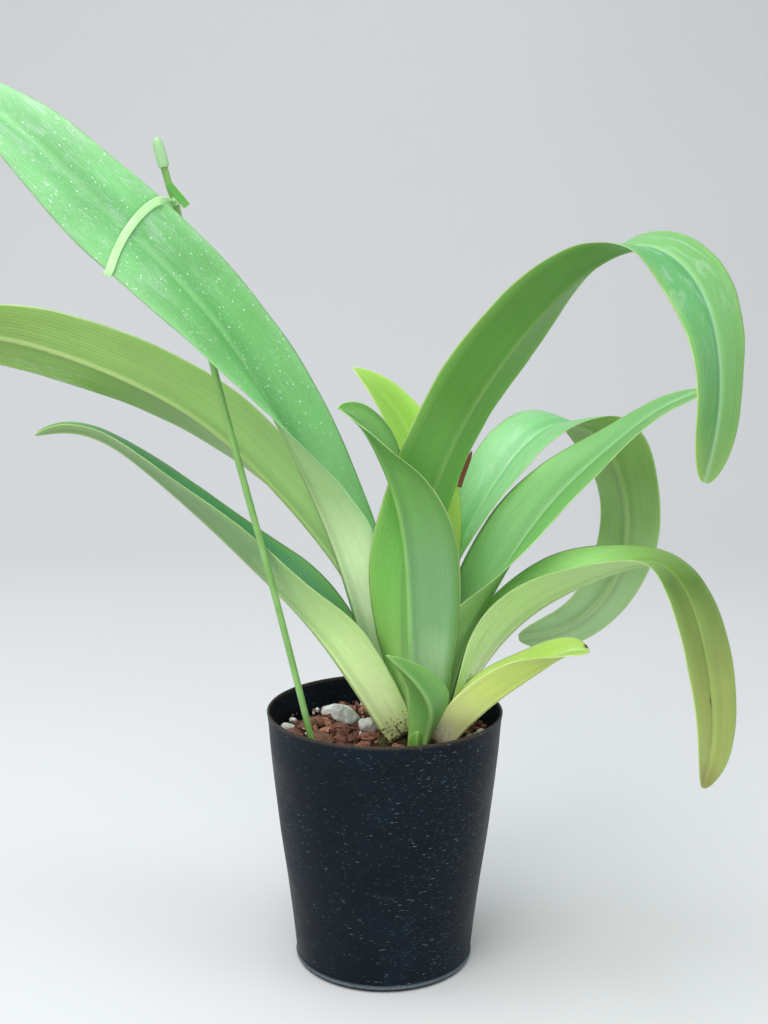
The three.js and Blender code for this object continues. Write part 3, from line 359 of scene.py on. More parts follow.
# ----------------------------------------------------------- node materials
class Nodes:
    """A short way to write a shader's nodes."""

    def __init__(self, name):
        self.mat = bpy.data.materials.new(name)
        self.mat.use_nodes = True
        self.t = self.mat.node_tree
        self.t.nodes.clear()
        self.out = self.t.nodes.new("ShaderNodeOutputMaterial")
        self.bsdf = self.t.nodes.new("ShaderNodeBsdfPrincipled")
        self.t.links.new(self.bsdf.outputs[0], self.out.inputs[0])

    def put(self, socket, value):
        if isinstance(value, bpy.types.NodeSocket):
            self.t.links.new(value, socket)
        elif value is not None:
            socket.default_value = value

    def set(self, **values):
        for key, value in values.items():
            self.put(self.bsdf.inputs[key.replace("_", " ")], value)

    def attr(self, name):
        n = self.t.nodes.new("ShaderNodeAttribute")
        n.attribute_type = "GEOMETRY"
        n.attribute_name = name
        return n.outputs["Vector"]

    def coords(self):
        return self.t.nodes.new("ShaderNodeTexCoord").outputs["Object"]

    def split(self, vector):
        n = self.t.nodes.new("ShaderNodeSeparateXYZ")
        self.put(n.inputs[0], vector)
        return n.outputs[0], n.outputs[1], n.outputs[2]

    def join(self, x=0.0, y=0.0, z=0.0):
        n = self.t.nodes.new("ShaderNodeCombineXYZ")
        for s, v in zip(n.inputs, (x, y, z)):
            self.put(s, v)
        return n.outputs[0]

    def math(self, op, a, b=0.0, c=None, clamp=False):
        n = self.t.nodes.new("ShaderNodeMath")
        n.operation = op
        n.use_clamp = clamp
        self.put(n.inputs[0], a)
        self.put(n.inputs[1], b)
        if c is not None:
            self.put(n.inputs[2], c)
        return n.outputs[0]

    def scale(self, vector, by):
        n = self.t.nodes.new("ShaderNodeVectorMath")
        n.operation = "MULTIPLY"
        self.put(n.inputs[0], vector)
        self.put(n.inputs[1], by)
        return n.outputs[0]

    def noise(self, vector, scale, detail=3.0, rough=0.5, distort=0.0):
        n = self.t.nodes.new("ShaderNodeTexNoise")
        self.put(n.inputs["Vector"], vector)
        n.inputs["Scale"].default_value = scale
        n.inputs["Detail"].default_value = detail
        n.inputs["Roughness"].default_value = rough
        n.inputs["Distortion"].default_value = distort
        return n.outputs[0]

    def voronoi(self, vector, scale, feature="F1", random=1.0, output="Distance"):
        n = self.t.nodes.new("ShaderNodeTexVoronoi")
        n.feature = feature
        self.put(n.inputs["Vector"], vector)
        n.inputs["Scale"].default_value = scale
        n.inputs["Randomness"].default_value = random
        return n.outputs[output]

    def remap(self, value, a, b, c=0.0, d=1.0, smooth=True):
        n = self.t.nodes.new("ShaderNodeMapRange")
        n.interpolation_type = "SMOOTHSTEP" if smooth else "LINEAR"
        self.put(n.inputs[0], value)
        for i, v in enumerate((a, b, c, d)):
            n.inputs[i + 1].default_value = v
        return n.outputs[0]

    def mix(self, fac, a, b, blend="MIX"):
        n = self.t.nodes.new("ShaderNodeMix")
        n.data_type = "RGBA"
        n.blend_type = blend
        n.clamp_factor = True
        self.put(n.inputs[0], fac)
        self.put(n.inputs[6], a)
        self.put(n.inputs[7], b)
        return n.outputs[2]

    def ramp(self, fac, stops):
        n = self.t.nodes.new("ShaderNodeValToRGB")
        e = n.color_ramp.elements
        while len(e) > 1:
            e.remove(e[-1])
        for i, (at, colour) in enumerate(stops):
            el = e[0] if i == 0 else e.new(at)
            el.position = at
            el.color = colour
        self.put(n.inputs[0], fac)
        return n.outputs[0]

    def value_of(self, colour, by):
        """A colour times a number."""
        n = self.t.nodes.new("ShaderNodeVectorMath")
        n.operation = "SCALE"
        self.put(n.inputs[0], colour)
        self.put(n.inputs["Scale"], by)
        return n.outputs[0]

    def bump(self, height, distance_mm, strength=1.0, normal=None):
        n = self.t.nodes.new("ShaderNodeBump")
        n.inputs["Strength"].default_value = strength
        n.inputs["Distance"].default_value = distance_mm * MM
        self.put(n.inputs["Height"], height)
        if normal is not None:
            self.put(n.inputs["Normal"], normal)
        return n.outputs[0]


def leaf_material(name, upper, lower, **o):
    """Leaf surface. `upper` and `lower` are (position, colour) stops from the
    base to the tip. Attribute `leaf`: across mm, along mm, share of the half
    width; attribute `part`: position 0..1, mm from the margin, 1 = upper."""
    k = Nodes(name)
    across, along, share = k.split(k.attr("leaf"))
    pos, inset, face = k.split(k.attr("part"))
    place = k.coords()
    seed = o.get("seed", 0.0)
    sheet = k.join(k.math("ADD", across, seed * 11.0), along, face)
    # long cells and vein streaks that run with the leaf
    streak = k.noise(k.scale(sheet, (0.55, 0.012, 1.0)), 1.0, 4.0, 0.6)
    fine = k.noise(k.scale(sheet, (2.4, 0.045, 1.0)), 1.0, 3.0, 0.6)
    cloud = k.noise(k.scale(sheet, (0.05, 0.022, 1.0)), 1.0, 3.0, 0.55, 0.4)
    mottle = k.noise(k.scale(sheet, (0.9, 0.32, 1.0)), 1.0, 3.0, 0.65)
    wander = k.math("MULTIPLY_ADD", k.math("SUBTRACT", cloud, 0.5), o.get("wander", 0.10), pos)
    top = k.ramp(wander, [(a, hexa(c)) for a, c in upper])
    under = k.ramp(wander, [(a, hexa(c)) for a, c in lower])

    # upper face: light midrib band between two darker furrows
    q = k.math("ABSOLUTE", across)
    band = k.remap(k.math("ADD", q, k.math("MULTIPLY", streak, 0.8)), 0.4, 2.6, 1.0, 0.0)
    furrow = k.math("MULTIPLY", k.remap(q, 1.2, 3.2, 0.0, 1.0), k.remap(q, 3.2, o.get("furrow_out", 8.0), 1.0, 0.0))
    furrow = k.math("MULTIPLY", furrow, k.remap(cloud, 0.35, 0.62, 0.35, 1.0))
    top = k.mix(k.math("MULTIPLY", furrow, o.get("furrow", 0.45)), top, hexa(o.get("furrow_colour", "2f7a30")))
    top = k.mix(k.math("MULTIPLY", band, o.get("band", 0.45)), top, hexa(o.get("band_colour", "a8d8a0")))
    # lower face: keel line, lighter, a painted highlight where the ridge catches the light, with a thin dark line
    # beside it
    keel = k.remap(q, 0.2, 1.3, 1.0, 0.0)
    shade = k.math("MULTIPLY", k.remap(q, 0.9, 2.2, 0.0, 1.0), k.remap(q, 2.2, 6.0, 1.0, 0.0))
    under = k.mix(k.math("MULTIPLY", shade, o.get("keel_shade", 0.22)), under, hexa(o.get("keel_dark", "49702c")))
    under = k.mix(k.math("MULTIPLY", keel, o.get("keel", 0.5)), under, hexa(o.get("keel_colour", "b4cf82")))
    colour = k.mix(k.remap(face, 0.4, 0.6), under, top)

    # painted light and shade: one half lighter or darker than the other, as it faces towards or away from the light
    if "side" in o:
        amount, tint = o["side"]
        half = k.remap(across, -1.5, 1.5) if amount > 0 else k.remap(across, -1.5, 1.5, 1.0, 0.0)
        colour = k.mix(k.math("MULTIPLY", half, abs(amount)), colour, hexa(tint))
    # streaks, clouds, mottling
    tone = k.math("ADD", k.math("MULTIPLY", k.math("SUBTRACT", streak, 0.5), o.get("streak", 0.20)),
                  k.math("MULTIPLY", k.math("SUBTRACT", fine, 0.5), o.get("fine", 0.16)))
    tone = k.math("ADD", tone, k.math("MULTIPLY", k.math("SUBTRACT", mottle, 0.5), o.get("mottle", 0.16)))
    tone = k.math("ADD", tone, k.math("MULTIPLY", k.math("SUBTRACT", cloud, 0.5), o.get("cloud", 0.38)))
    colour = k.value_of(colour, k.math("ADD", tone, 1.0))
    # the blade pales a little towards the margin, and ends in a thin light rim
    colour = k.mix(k.math("MULTIPLY", k.remap(inset, 0.0, 7.0, 1.0, 0.0), o.get("pale_edge", 0.22)), colour, hexa(o.get("pale_colour", "93cc5c")))
    rim = k.remap(k.math("ADD", inset, k.math("MULTIPLY", k.math("SUBTRACT", fine, 0.5), 0.5)), 0.25, 0.85, 1.0, 0.0)
    colour = k.mix(k.math("MULTIPLY", rim, o.get("rim", 0.65)), colour, hexa(o.get("rim_colour", "cfe3a4")))
    # tiny pale dots, densest where the mask says
    dots = None
    if o.get("dots"):
        amount, a, b, c, d = o["dots"]
        cell = k.scale(sheet, (0.62, 0.36, 1.0))
        d1 = k.remap(k.voronoi(cell, 1.0), 0.10, 0.24, 1.0, 0.0)
        d2 = k.remap(k.voronoi(k.scale(sheet, (1.5, 0.8, 1.0)), 1.0), 0.12, 0.26, 1.0, 0.0)
        where = k.math("MULTIPLY", k.remap(pos, a, b), k.remap(pos, c, d, 1.0, 0.0))
        where = k.math("MULTIPLY", where, k.remap(face, 0.6, 0.8))
        patch = k.remap(k.noise(k.scale(sheet, (0.16, 0.05, 1.0)), 1.0, 2.0), *o.get("patch", (0.38, 0.62)))
        keep = k.remap(k.noise(k.scale(sheet, (0.62, 0.36, 1.0)), 1.0, 0.0), 0.44, 0.56)
        dots = k.math("MULTIPLY", k.math("MAXIMUM", k.math("MULTIPLY", d1, keep), k.math("MULTIPLY", d2, 0.45)), k.math("MULTIPLY", where, patch))
        colour = k.mix(k.math("MULTIPLY", dots, amount), colour, hexa("e2f3ea"))
    # whitish film: partly a deposit left by hard water and wax, partly a painted sheen where top-facing parts reflect
    # the sky
    if o.get("film_and_sheen"):
        amount, a, b, c, d = o["film_and_sheen"]
        where = k.math("MULTIPLY", k.remap(pos, a, b), k.remap(pos, c, d, 1.0, 0.0))
        if o.get("film_low"):
            where = k.math("MULTIPLY", where, k.remap(across, -15.0, -8.5, 1.0, 0.0))
        else:
            where = k.math("MULTIPLY", where, k.remap(face, 0.6, 0.8))
        wisp = k.remap(k.noise(k.scale(sheet, (0.22, 0.06, 1.0)), 1.0, 5.0, 0.7, 0.8), 0.48, 0.74)
        colour = k.mix(k.math("MULTIPLY", k.math("MULTIPLY", wisp, where), amount), colour, hexa("cfe2d4"))
    # dark grains at the foot of the sheath
    if o.get("grains"):
        amount, a, b = o["grains"]
        ragged = k.math("ADD", pos, k.math("MULTIPLY", k.math("SUBTRACT", cloud, 0.5), 0.06))
        near = k.remap(ragged, a, b, 1.0, 0.0)
        g1 = k.noise(k.scale(sheet, (0.75, 0.55, 1.0)), 1.0, 4.0, 0.75)
        spots = k.remap(k.math("ADD", g1, k.math("MULTIPLY", near, 0.13)), 0.60, 0.67)
        colour = k.mix(k.math("MULTIPLY", near, 0.22 * amount), colour, hexa("6d5a35"))
        colour = k.mix(k.math("MULTIPLY", k.math("MULTIPLY", spots, k.remap(near, 0.02, 0.4)), amount), colour, hexa("22170f"))
    # brown lesions: across, along, half sizes, in mm
    for cx, cy, rx, ry, tint in o.get("marks", ()):
        dx = k.math("DIVIDE", k.math("SUBTRACT", across, cx), rx)
        dy = k.math("DIVIDE", k.math("SUBTRACT", along, cy), ry)
        dist = k.math("SQRT", k.math("ADD", k.math("MULTIPLY", dx, dx), k.math("MULTIPLY", dy, dy)))
        dist = k.math("ADD", dist, k.math("MULTIPLY", k.math("SUBTRACT", mottle, 0.5), 1.1))
        colour = k.mix(k.remap(dist, 0.9, 1.9, 0.35, 0.0), colour, hexa("8a8a3c"))
        colour = k.mix(k.remap(dist, 0.55, 1.05, 1.0, 0.0), colour, hexa(tint))
    k.set(Base_Color=colour)
    rough = k.math("ADD", o.get("rough", 0.40), k.math("MULTIPLY", k.math("SUBTRACT", mottle, 0.5), 0.22))
    rough = k.math("ADD", rough, k.remap(face, 0.4, 0.6, 0.06, 0.0), clamp=True)
    k.set(Roughness=rough)
    # relief: vein ridges every 1.6 mm, long cells, fine grain
    vein = k.math("SINE", k.math("MULTIPLY", k.math("ADD", across, k.math("MULTIPLY", streak, 0.9)), 3.9))
    height = k.math("ADD", k.math("MULTIPLY", vein, 0.25), k.math("MULTIPLY", fine, 0.8))
    height = k.math("ADD", height, k.math("MULTIPLY", mottle, 0.55))
    k.set(Normal=k.bump(height, 0.16, 0.75))
    b = k.bsdf.inputs
    b["Subsurface Weight"].default_value = o.get("sss", 0.0)
    b["Subsurface Radius"].default_value = (0.6, 1.0, 0.25)
    b["Subsurface Scale"].default_value = 0.0016
    b["Specular IOR Level"].default_value = 0.55
    b["Coat Weight"].default_value = o.get("coat", 0.08)
    b["Coat Roughness"].default_value = 0.34
    return k.mat


# -------------------------------------------------------------------- leaves
def basis(count, t):
    u = min(max(t, 0.0), 1.0) * (count - 1)
    i = min(int(u), count - 2)
    f = u - i
    b = ((1 - f) ** 3 / 6, (3 * f ** 3 - 6 * f * f + 4) / 6, (-3 * f ** 3 + 3 * f * f + 3 * f + 1) / 6, f ** 3 / 6)
    w = np.zeros(count)
    for k, c in enumerate(b):
        j = i - 1 + k
        if j < 0:
            w[0] += 2 * c
            w[1] -= c
        elif j >= count:
            w[count - 1] += 2 * c
            w[count - 2] -= c
        else:
            w[j] += c
    return w


class Blade:
    """The mid-surface of one leaf."""

    def __init__(self, rows):
        self.rows = np.array(rows, float)
        n = len(rows)
        self.start = 1 - 0.9 / (n - 1)
        ts = np.linspace(0, 1, 401)
        c = np.array([basis(n, t) for t in ts]) @ self.rows
        self.ts, self.c = ts, c
        self.length = np.concatenate([[0], np.cumsum(np.linalg.norm(np.diff(c[:, :3], axis=0), axis=1))])
        t2 = np.gradient(c[:, :3], ts, axis=0)
        self.T = unit(t2)
        self.S = unit(np.cross(c[:, 3:6], self.T))
        self.N = np.cross(self.T, self.S)

    def at(self, t):
        pick = lambda a: np.array([np.interp(t, self.ts, a[:, i]) for i in range(a.shape[1])])
        c = pick(self.c)
        T = unit(pick(self.T))
        S = pick(self.S)
        S = unit(S - T * (S @ T))
        return c, T, S, np.cross(T, S), float(np.interp(t, self.ts, self.length))

    def cross(self, t, qs, ruffle):
        """Points, normals and half-width shares of the section at t; qs in -1..1."""
        c, T, S, N, s = self.at(t)
        x = min(max((t - self.start) / (1 - self.start), 0.0), 1.0)
        rnd = math.sqrt(max(1 - x ** 2.2, 0.0))
        w = c[6] * rnd
        a0, a1 = math.radians(c[7]), math.radians(c[8])
        steps = 40
        f = (np.arange(steps) + 0.5) / steps
        pts, nor = [], []
        for side in (-1, 1):
            ww = w * (1 + ruffle(s, side))
            ang = a0 + (a1 - a0) * f
            reach = np.concatenate([[0], np.cumsum(np.cos(ang))]) * ww / steps
            rise = np.concatenate([[0], np.cumsum(np.sin(ang))]) * ww / steps
            use = np.abs(qs[qs < 0] if side < 0 else qs[qs >= 0])
            r = np.interp(use * steps, np.arange(steps + 1), reach)
            h = np.interp(use * steps, np.arange(steps + 1), rise)
            aq = a0 + (a1 - a0) * use
            # the keel is rounded over, so the normal turns smoothly through it
            soft = np.clip(use * w / 1.6, 0, 1)
            aq = aq * soft
            pts.append(c[:3] + np.outer(side * r, S) + np.outer(h, N))
            nor.append(np.outer(np.cos(aq), N) + np.outer(-side * np.sin(aq), S))
        order = np.concatenate(pts), unit(np.concatenate(nor))
        return order[0], order[1], w, rnd, s, c


def cad_tree(node):
    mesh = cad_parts[node].data
    return BVHTree.FromPolygons([v.co[:] for v in mesh.vertices], [p.vertices[:] for p in mesh.polygons])


# How far, in mm, the foot of a leaf lies behind (+) or before (-) its solid
# where the leaves clasp each other.
SETTLE = {
    "leaf_upper_left": (7.0, 10.0, 10.5, 7.0, 2.0),
    "leaf_arching_right": (-5.5, -6.5, -7.0, -5.0, -2.0),
}
EYE = np.array([-0.9, -700.3, 361.2])


def settled(rows, steps):
    out = [list(r) for r in rows]
    for r, dy in zip(out, steps):
        s = (r[1] + dy - EYE[1]) / (r[1] - EYE[1])
        r[:3] = (EYE + s * (np.array(r[:3]) - EYE)).tolist()
        r[6] *= s
    return out


def leaf(name, material, seed, across_n=13, step=2.2, node=None, thick=(1.75, 0.75), groove=0.55, keel=0.5,
         wave=0.35, ruffle=0.02, rib=0.05, notch=None, reach=2.6, back=1.4):
    blade = Blade(LEAVES[name])
    total = blade.length[-1]
    laid = Blade(settled(LEAVES[name], SETTLE.get(name, ())))
    rnd_ = random.Random(seed)
    ph = [rnd_.uniform(0, 6.28) for _ in range(8)]

    def ruffle_at(s, side):
        k = 0 if side < 0 else 4
        v = (math.sin(s / 17.0 + ph[k]) * 0.5 + math.sin(s / 7.3 + ph[k + 1]) * 0.28
             + math.sin(s / 31.0 + ph[k + 2]) * 0.7)
        v *= ruffle
        if notch and notch[0] == side:
            v -= notch[3] * math.exp(-((s - notch[1] * total) / notch[2]) ** 2)
        return v

    # across: denser at the keel and at the margin
    h = np.linspace(0, 1, across_n)
    h = 0.5 * h + 0.5 * (0.5 - 0.5 * np.cos(np.pi * h))
    qs = np.concatenate([-h[::-1][:-1], h])
    nq = len(qs)
    nt = max(int(total / step), 10)
    # the mid-surface on a fine grid, dense where the tip rounds off
    tk = np.concatenate([np.linspace(0, 0.96, nt * 2)[:-1], 0.96 + 0.0385 * (1 - (1 - np.linspace(0, 1, 60)) ** 2)])
    table = [blade.cross(float(t), qs, ruffle_at) for t in tk]
    PP, NN = np.array([r[0] for r in table]), np.array([r[1] for r in table])
    ww, rr, ss = (np.array([r[i] for r in table]) for i in (2, 3, 4))
    table = [laid.cross(float(t), qs, ruffle_at) for t in tk]
    QQ, NN = np.array([r[0] for r in table]), np.array([r[1] for r in table])
    # where each line of the blade begins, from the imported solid
    tree = cad_tree(node or name)
    t0 = np.zeros(nq)
    scan = range(len(tk) - 1, -1, -2)
    for j in range(nq):
        seen = False
        for i in scan:
            d = tree.find_nearest(Vector(PP[i, j] * MM))[3]
            if d is not None and d < reach * MM:
                seen = True
            elif seen:
                t0[j] = tk[i] + back / total
                break
    for _ in range(2):
        t0[1:-1] = np.minimum(t0[1:-1], (t0[:-2] + t0[1:-1] * 2 + t0[2:]) / 4)
    if name in SETTLE:
        t0[:] = t0.min()

    # along: closer together where the tip rounds off
    g = np.linspace(0, 1, nt + 1)
    ends = 1 - (1 - np.linspace(0, 1, 11)[1:]) ** 2
    g = np.concatenate([g[:-3], g[-3] + (0.9985 - g[-3]) * np.concatenate([[0], ends])])
    up, low, leaf_a, part_a = [], [], [], []
    cols = []
    for j in range(nq):
        ts = t0[j] + (1 - t0[j]) * g
        P = np.stack([np.interp(ts, tk, QQ[:, j, i]) for i in range(3)], 1)
        Nn = unit(np.stack([np.interp(ts, tk, NN[:, j, i]) for i in range(3)], 1))
        cols.append((P, Nn, np.interp(ts, tk, ww), np.interp(ts, tk, rr), np.interp(ts, tk, ss)))
    for i, gi in enumerate(g):
        row_u, row_l, la, pa = [], [], [], []
        for j, q in enumerate(qs):
            P, Nn, w, rnd, s = (x[i] for x in cols[j])
            a = abs(q)
            tip = 0.45 + 0.55 * rnd
            edge = math.sqrt(max(1 - a ** 10, 0.0))
            half = (thick[0] + (thick[1] - thick[0]) * a ** 0.8) / 2 * tip * edge
            p, n = P.copy(), Nn
            x = q * w
            fade = min(1.0, (1 - gi) * 9) * rnd
            v = noise.fractal(Vector((p[0] / 26 + seed, p[1] / 26, p[2] / 26)), 1.0, 2.0, 2, noise_basis="PERLIN_ORIGINAL")
            p = p + n * (v * wave * a * fade)
            # vein ridges, furrow on the upper face, keel on the lower one
            r = rib * math.sin(x * 1.55 + math.sin(s / 40) * 0.4) * edge * fade
            g_up = -groove * math.exp(-(x / 1.5) ** 2) * fade
            k_lo = keel * math.exp(-(x / 1.25) ** 2) * fade
            row_u.append(p + n * (half + r + g_up))
            row_l.append(p - n * (half + r + k_lo))
            la.append((x, s, a))
            pa.append((s / total, max((1 - a) * w, 0.0)))
        up.append(row_u)
        low.append(row_l)
        leaf_a.append(la)
        part_a.append(pa)
    rows = len(g)
    # close the margins: the outermost line of both faces is one line
    verts, la_all, pa_all = [], [], []
    for i in range(rows):
        for j in range(nq):
            edge_pt = j in (0, nq - 1)
            verts.append((up[i][j] + low[i][j]) / 2 if edge_pt else up[i][j])
            la_all.append(leaf_a[i][j])
            pa_all.append((*part_a[i][j], 1.0 if not edge_pt else 0.5))
    index_low = {}
    for i in range(rows):
        for j in range(1, nq - 1):
            index_low[i, j] = len(verts)
            verts.append(low[i][j])
            la_all.append(leaf_a[i][j])
            pa_all.append((*part_a[i][j], 0.0))
        index_low[i, 0] = i * nq
        index_low[i, nq - 1] = i * nq + nq - 1
    faces = []
    for i in range(rows - 1):
        for j in range(nq - 1):
            a, b = i * nq + j, i * nq + j + 1
            faces.append((a, b, b + nq, a + nq))
            faces.append((index_low[i, j], index_low[i + 1, j], index_low[i + 1, j + 1], index_low[i, j + 1]))
    for i in (0, rows - 1):
        for j in range(nq - 1):
            ring = [i * nq + j, index_low[i, j], index_low[i, j + 1], i * nq + j + 1]
            ring = [v for k2, v in enumerate(ring) if v not in ring[:k2]]
            if i:
                ring.reverse()
            if len(ring) > 2:
                faces.append(ring)
    obj = new_object(name + "_blade", verts, faces, material, attributes={"leaf": la_all, "part": pa_all})
    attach(obj, "root")
    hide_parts(name)
    return obj


# ------------------------------------------------------------ other materials
def pot_material():
    k = Nodes("pot_black_plastic")
    p = k.coords()
    mm = k.scale(p, (1000.0, 1000.0, 1000.0))
    x, y, z = k.split(mm)
    rings = k.noise(k.scale(mm, (0.012, 0.012, 2.3)), 1.0, 4.0, 0.65)
    cloud = k.noise(k.scale(mm, (0.03, 0.03, 0.045)), 1.0, 4.0, 0.6, 0.3)
    grain = k.noise(k.scale(mm, (1.6, 1.6, 2.6)), 1.0, 3.0, 0.7)
    cell = k.scale(mm, (0.15, 0.15, 0.8))
    near = k.voronoi(cell, 1.0)
    keep = k.noise(k.scale(mm, (0.15, 0.15, 0.8)), 1.0, 0.0)
    # the scuffs are thickest on the right, and in a band low down
    zone = k.math("ADD", k.remap(x, -15.0, 40.0, -0.04, 0.13), k.remap(k.math("ABSOLUTE", k.math("SUBTRACT", z, 84.0)), 6.0, 42.0, 0.05, 0.0))
    zone = k.math("ADD", zone, k.math("MULTIPLY", k.math("SUBTRACT", cloud, 0.5), 0.35))
    fleck = k.math("MULTIPLY", k.remap(near, 0.07, 0.20, 1.0, 0.0), k.remap(k.math("ADD", keep, zone), 0.55, 0.61))
    near2 = k.voronoi(k.scale(mm, (0.26, 0.26, 1.9)), 1.0)
    keep2 = k.noise(k.scale(mm, (0.26, 0.26, 1.9)), 1.0, 0.0)
    fleck2 = k.math("MULTIPLY", k.remap(near2, 0.10, 0.24, 1.0, 0.0), k.remap(k.math("ADD", keep2, zone), 0.52, 0.60))
    smear = k.math("MULTIPLY", k.remap(k.noise(k.scale(mm, (0.07, 0.07, 0.16)), 1.0, 6.0, 0.75, 0.6), 0.56, 0.76), k.remap(z, 20.0, 60.0, 0.5, 0.16))
    base = k.mix(rings, hexa("091018"), hexa("0f1922"))
    base = k.mix(k.remap(cloud, 0.35, 0.7), base, hexa("101c26"))
    base = k.mix(smear, base, hexa("3a4850"))
    base = k.mix(k.math("MULTIPLY", fleck, 0.42), base, hexa("8fa4ad"))
    base = k.mix(k.math("MULTIPLY", fleck2, 0.40), base, hexa("7f9398"))
    # bark dust along the mouth, with a painted reflection of the bark on the rim
    rim = k.math("MULTIPLY", k.remap(z, 130.6, 132.4), k.remap(grain, 0.35, 0.6))
    base = k.mix(k.math("MULTIPLY", rim, 0.5), base, hexa("6a5a48"))
    # painted highlight: a light line along the foot ridge, where it catches the light
    foot = k.math("MULTIPLY", k.remap(z, 1.2, 2.6), k.remap(z, 2.8, 4.4, 1.0, 0.0))
    base = k.mix(k.math("MULTIPLY", foot, k.remap(grain, 0.35, 0.7, 0.25, 0.8)), base, hexa("87949a"))
    k.set(Base_Color=base)
    k.set(Roughness=k.math("ADD", k.remap(cloud, 0.3, 0.7, 0.36, 0.50), k.math("ADD", k.math("MULTIPLY", fleck, 0.25), k.math("MULTIPLY", smear, 0.25)), clamp=True))
    h = k.math("ADD", k.math("MULTIPLY", rings, 0.9), k.math("MULTIPLY", grain, 0.5))
    h = k.math("SUBTRACT", h, k.math("MULTIPLY", fleck, 0.6))
    k.set(Normal=k.bump(h, 0.10, 0.7))
    k.bsdf.inputs["Specular IOR Level"].default_value = 0.10
    return k.mat


def bark_material(name="bark", dark=0.0):
    """Attribute `chip`: place along the grain in mm; `tone`: three random numbers."""
    k = Nodes(name)
    c = k.attr("chip")
    r1, r2, r3 = k.split(k.attr("tone"))
    grain = k.noise(k.scale(c, (0.16, 1.5, 1.9)), 1.0, 5.0, 0.65, 0.5)
    rough = k.noise(k.scale(c, (0.9, 1.3, 1.3)), 1.0, 5.0, 0.7)
    big = k.noise(k.scale(c, (0.12, 0.2, 0.2)), 1.0, 2.0)
    pick = k.math("ADD", k.math("MULTIPLY", r1, 0.75), k.math("MULTIPLY", big, 0.35))
    base = k.ramp(pick, [(0.0, hexa("3b221b")), (0.22, hexa("5c3427")), (0.45, hexa("7d4a38")), (0.66, hexa("93604c")), (0.84, hexa("b87c58")), (1.0, hexa("dcae84"))])
    base = k.mix(k.remap(grain, 0.42, 0.68, 0.0, 0.75), base, hexa("bb9080"))
    base = k.mix(k.remap(grain, 0.34, 0.50, 0.72, 0.0), base, hexa("2c1712"))
    base = k.mix(k.remap(rough, 0.58, 0.72, 0.0, 0.6), base, hexa("d2b4a6"))
    base = k.mix(k.remap(rough, 0.30, 0.42, 0.75, 0.0), base, hexa("1e100d"))
    base = k.value_of(base, k.math("ADD", k.math("MULTIPLY", r2, 0.75), 0.66 - dark))
    k.set(Base_Color=base)
    k.set(Roughness=k.remap(rough, 0.3, 0.7, 0.92, 0.72))
    h = k.math("ADD", k.math("MULTIPLY", grain, 1.0), k.math("MULTIPLY", rough, 0.7))
    k.set(Normal=k.bump(h, 0.55, 0.9))
    k.bsdf.inputs["Specular IOR Level"].default_value = 0.3
    return k.mat


def stone_material():
    k = Nodes("pumice")
    mm = k.scale(k.coords(), (1000.0, 1000.0, 1000.0))
    r1, r2, r3 = k.split(k.attr("tone"))
    pores = k.voronoi(k.scale(mm, (1.5, 1.5, 1.5)), 1.0)
    cloud = k.noise(mm, 0.23, 4.0, 0.65)
    fine = k.noise(mm, 1.4, 4.0, 0.7)
    base = k.mix(k.remap(cloud, 0.38, 0.66), hexa("fbfbf8"), hexa("e4e7e3"))
    base = k.mix(k.math("MULTIPLY", r1, k.remap(cloud, 0.30, 0.60)), base, hexa("8f9893"))
    base = k.mix(k.remap(fine, 0.64, 0.78, 0.0, 0.3), base, hexa("a49a8a"))
    pit = k.remap(pores, 0.10, 0.30, 1.0, 0.0)
    base = k.mix(k.math("MULTIPLY", pit, 0.28), base, hexa("7c7a72"))
    stain = k.math("MULTIPLY", k.remap(k.noise(mm, 0.35, 3.0), 0.52, 0.70), r2)
    base = k.mix(k.math("MULTIPLY", stain, 0.28), base, hexa("a08a6c"))
    k.set(Base_Color=base)
    k.bsdf.inputs["Roughness"].default_value = 0.86
    h = k.math("SUBTRACT", k.math("MULTIPLY", fine, 0.8), k.math("MULTIPLY", pit, 0.9))
    k.set(Normal=k.bump(h, 0.45, 0.9))
    k.bsdf.inputs["Subsurface Weight"].default_value = 0.08
    k.bsdf.inputs["Subsurface Scale"].default_value = 0.001
    return k.mat


def root_material(name, a, b, c):
    k = Nodes(name)
    mm = k.scale(k.coords(), (1000.0, 1000.0, 1000.0))
    felt = k.noise(mm, 2.6, 5.0, 0.8)
    cloud = k.noise(mm, 0.16, 3.0, 0.6)
    grit = k.voronoi(mm, 1.7)
    base = k.mix(k.remap(cloud, 0.35, 0.65), hexa(a), hexa(b))
    base = k.mix(k.remap(grit, 0.16, 0.36, 0.85, 0.0), base, hexa(c))
    base = k.mix(k.remap(felt, 0.58, 0.74, 0.0, 0.6), base, hexa("8d7650"))
    k.set(Base_Color=base)
    k.bsdf.inputs["Roughness"].default_value = 0.92
    k.set(Normal=k.bump(k.math("ADD", felt, k.math("MULTIPLY", grit, -0.8)), 0.6, 1.0))
    return k.mat


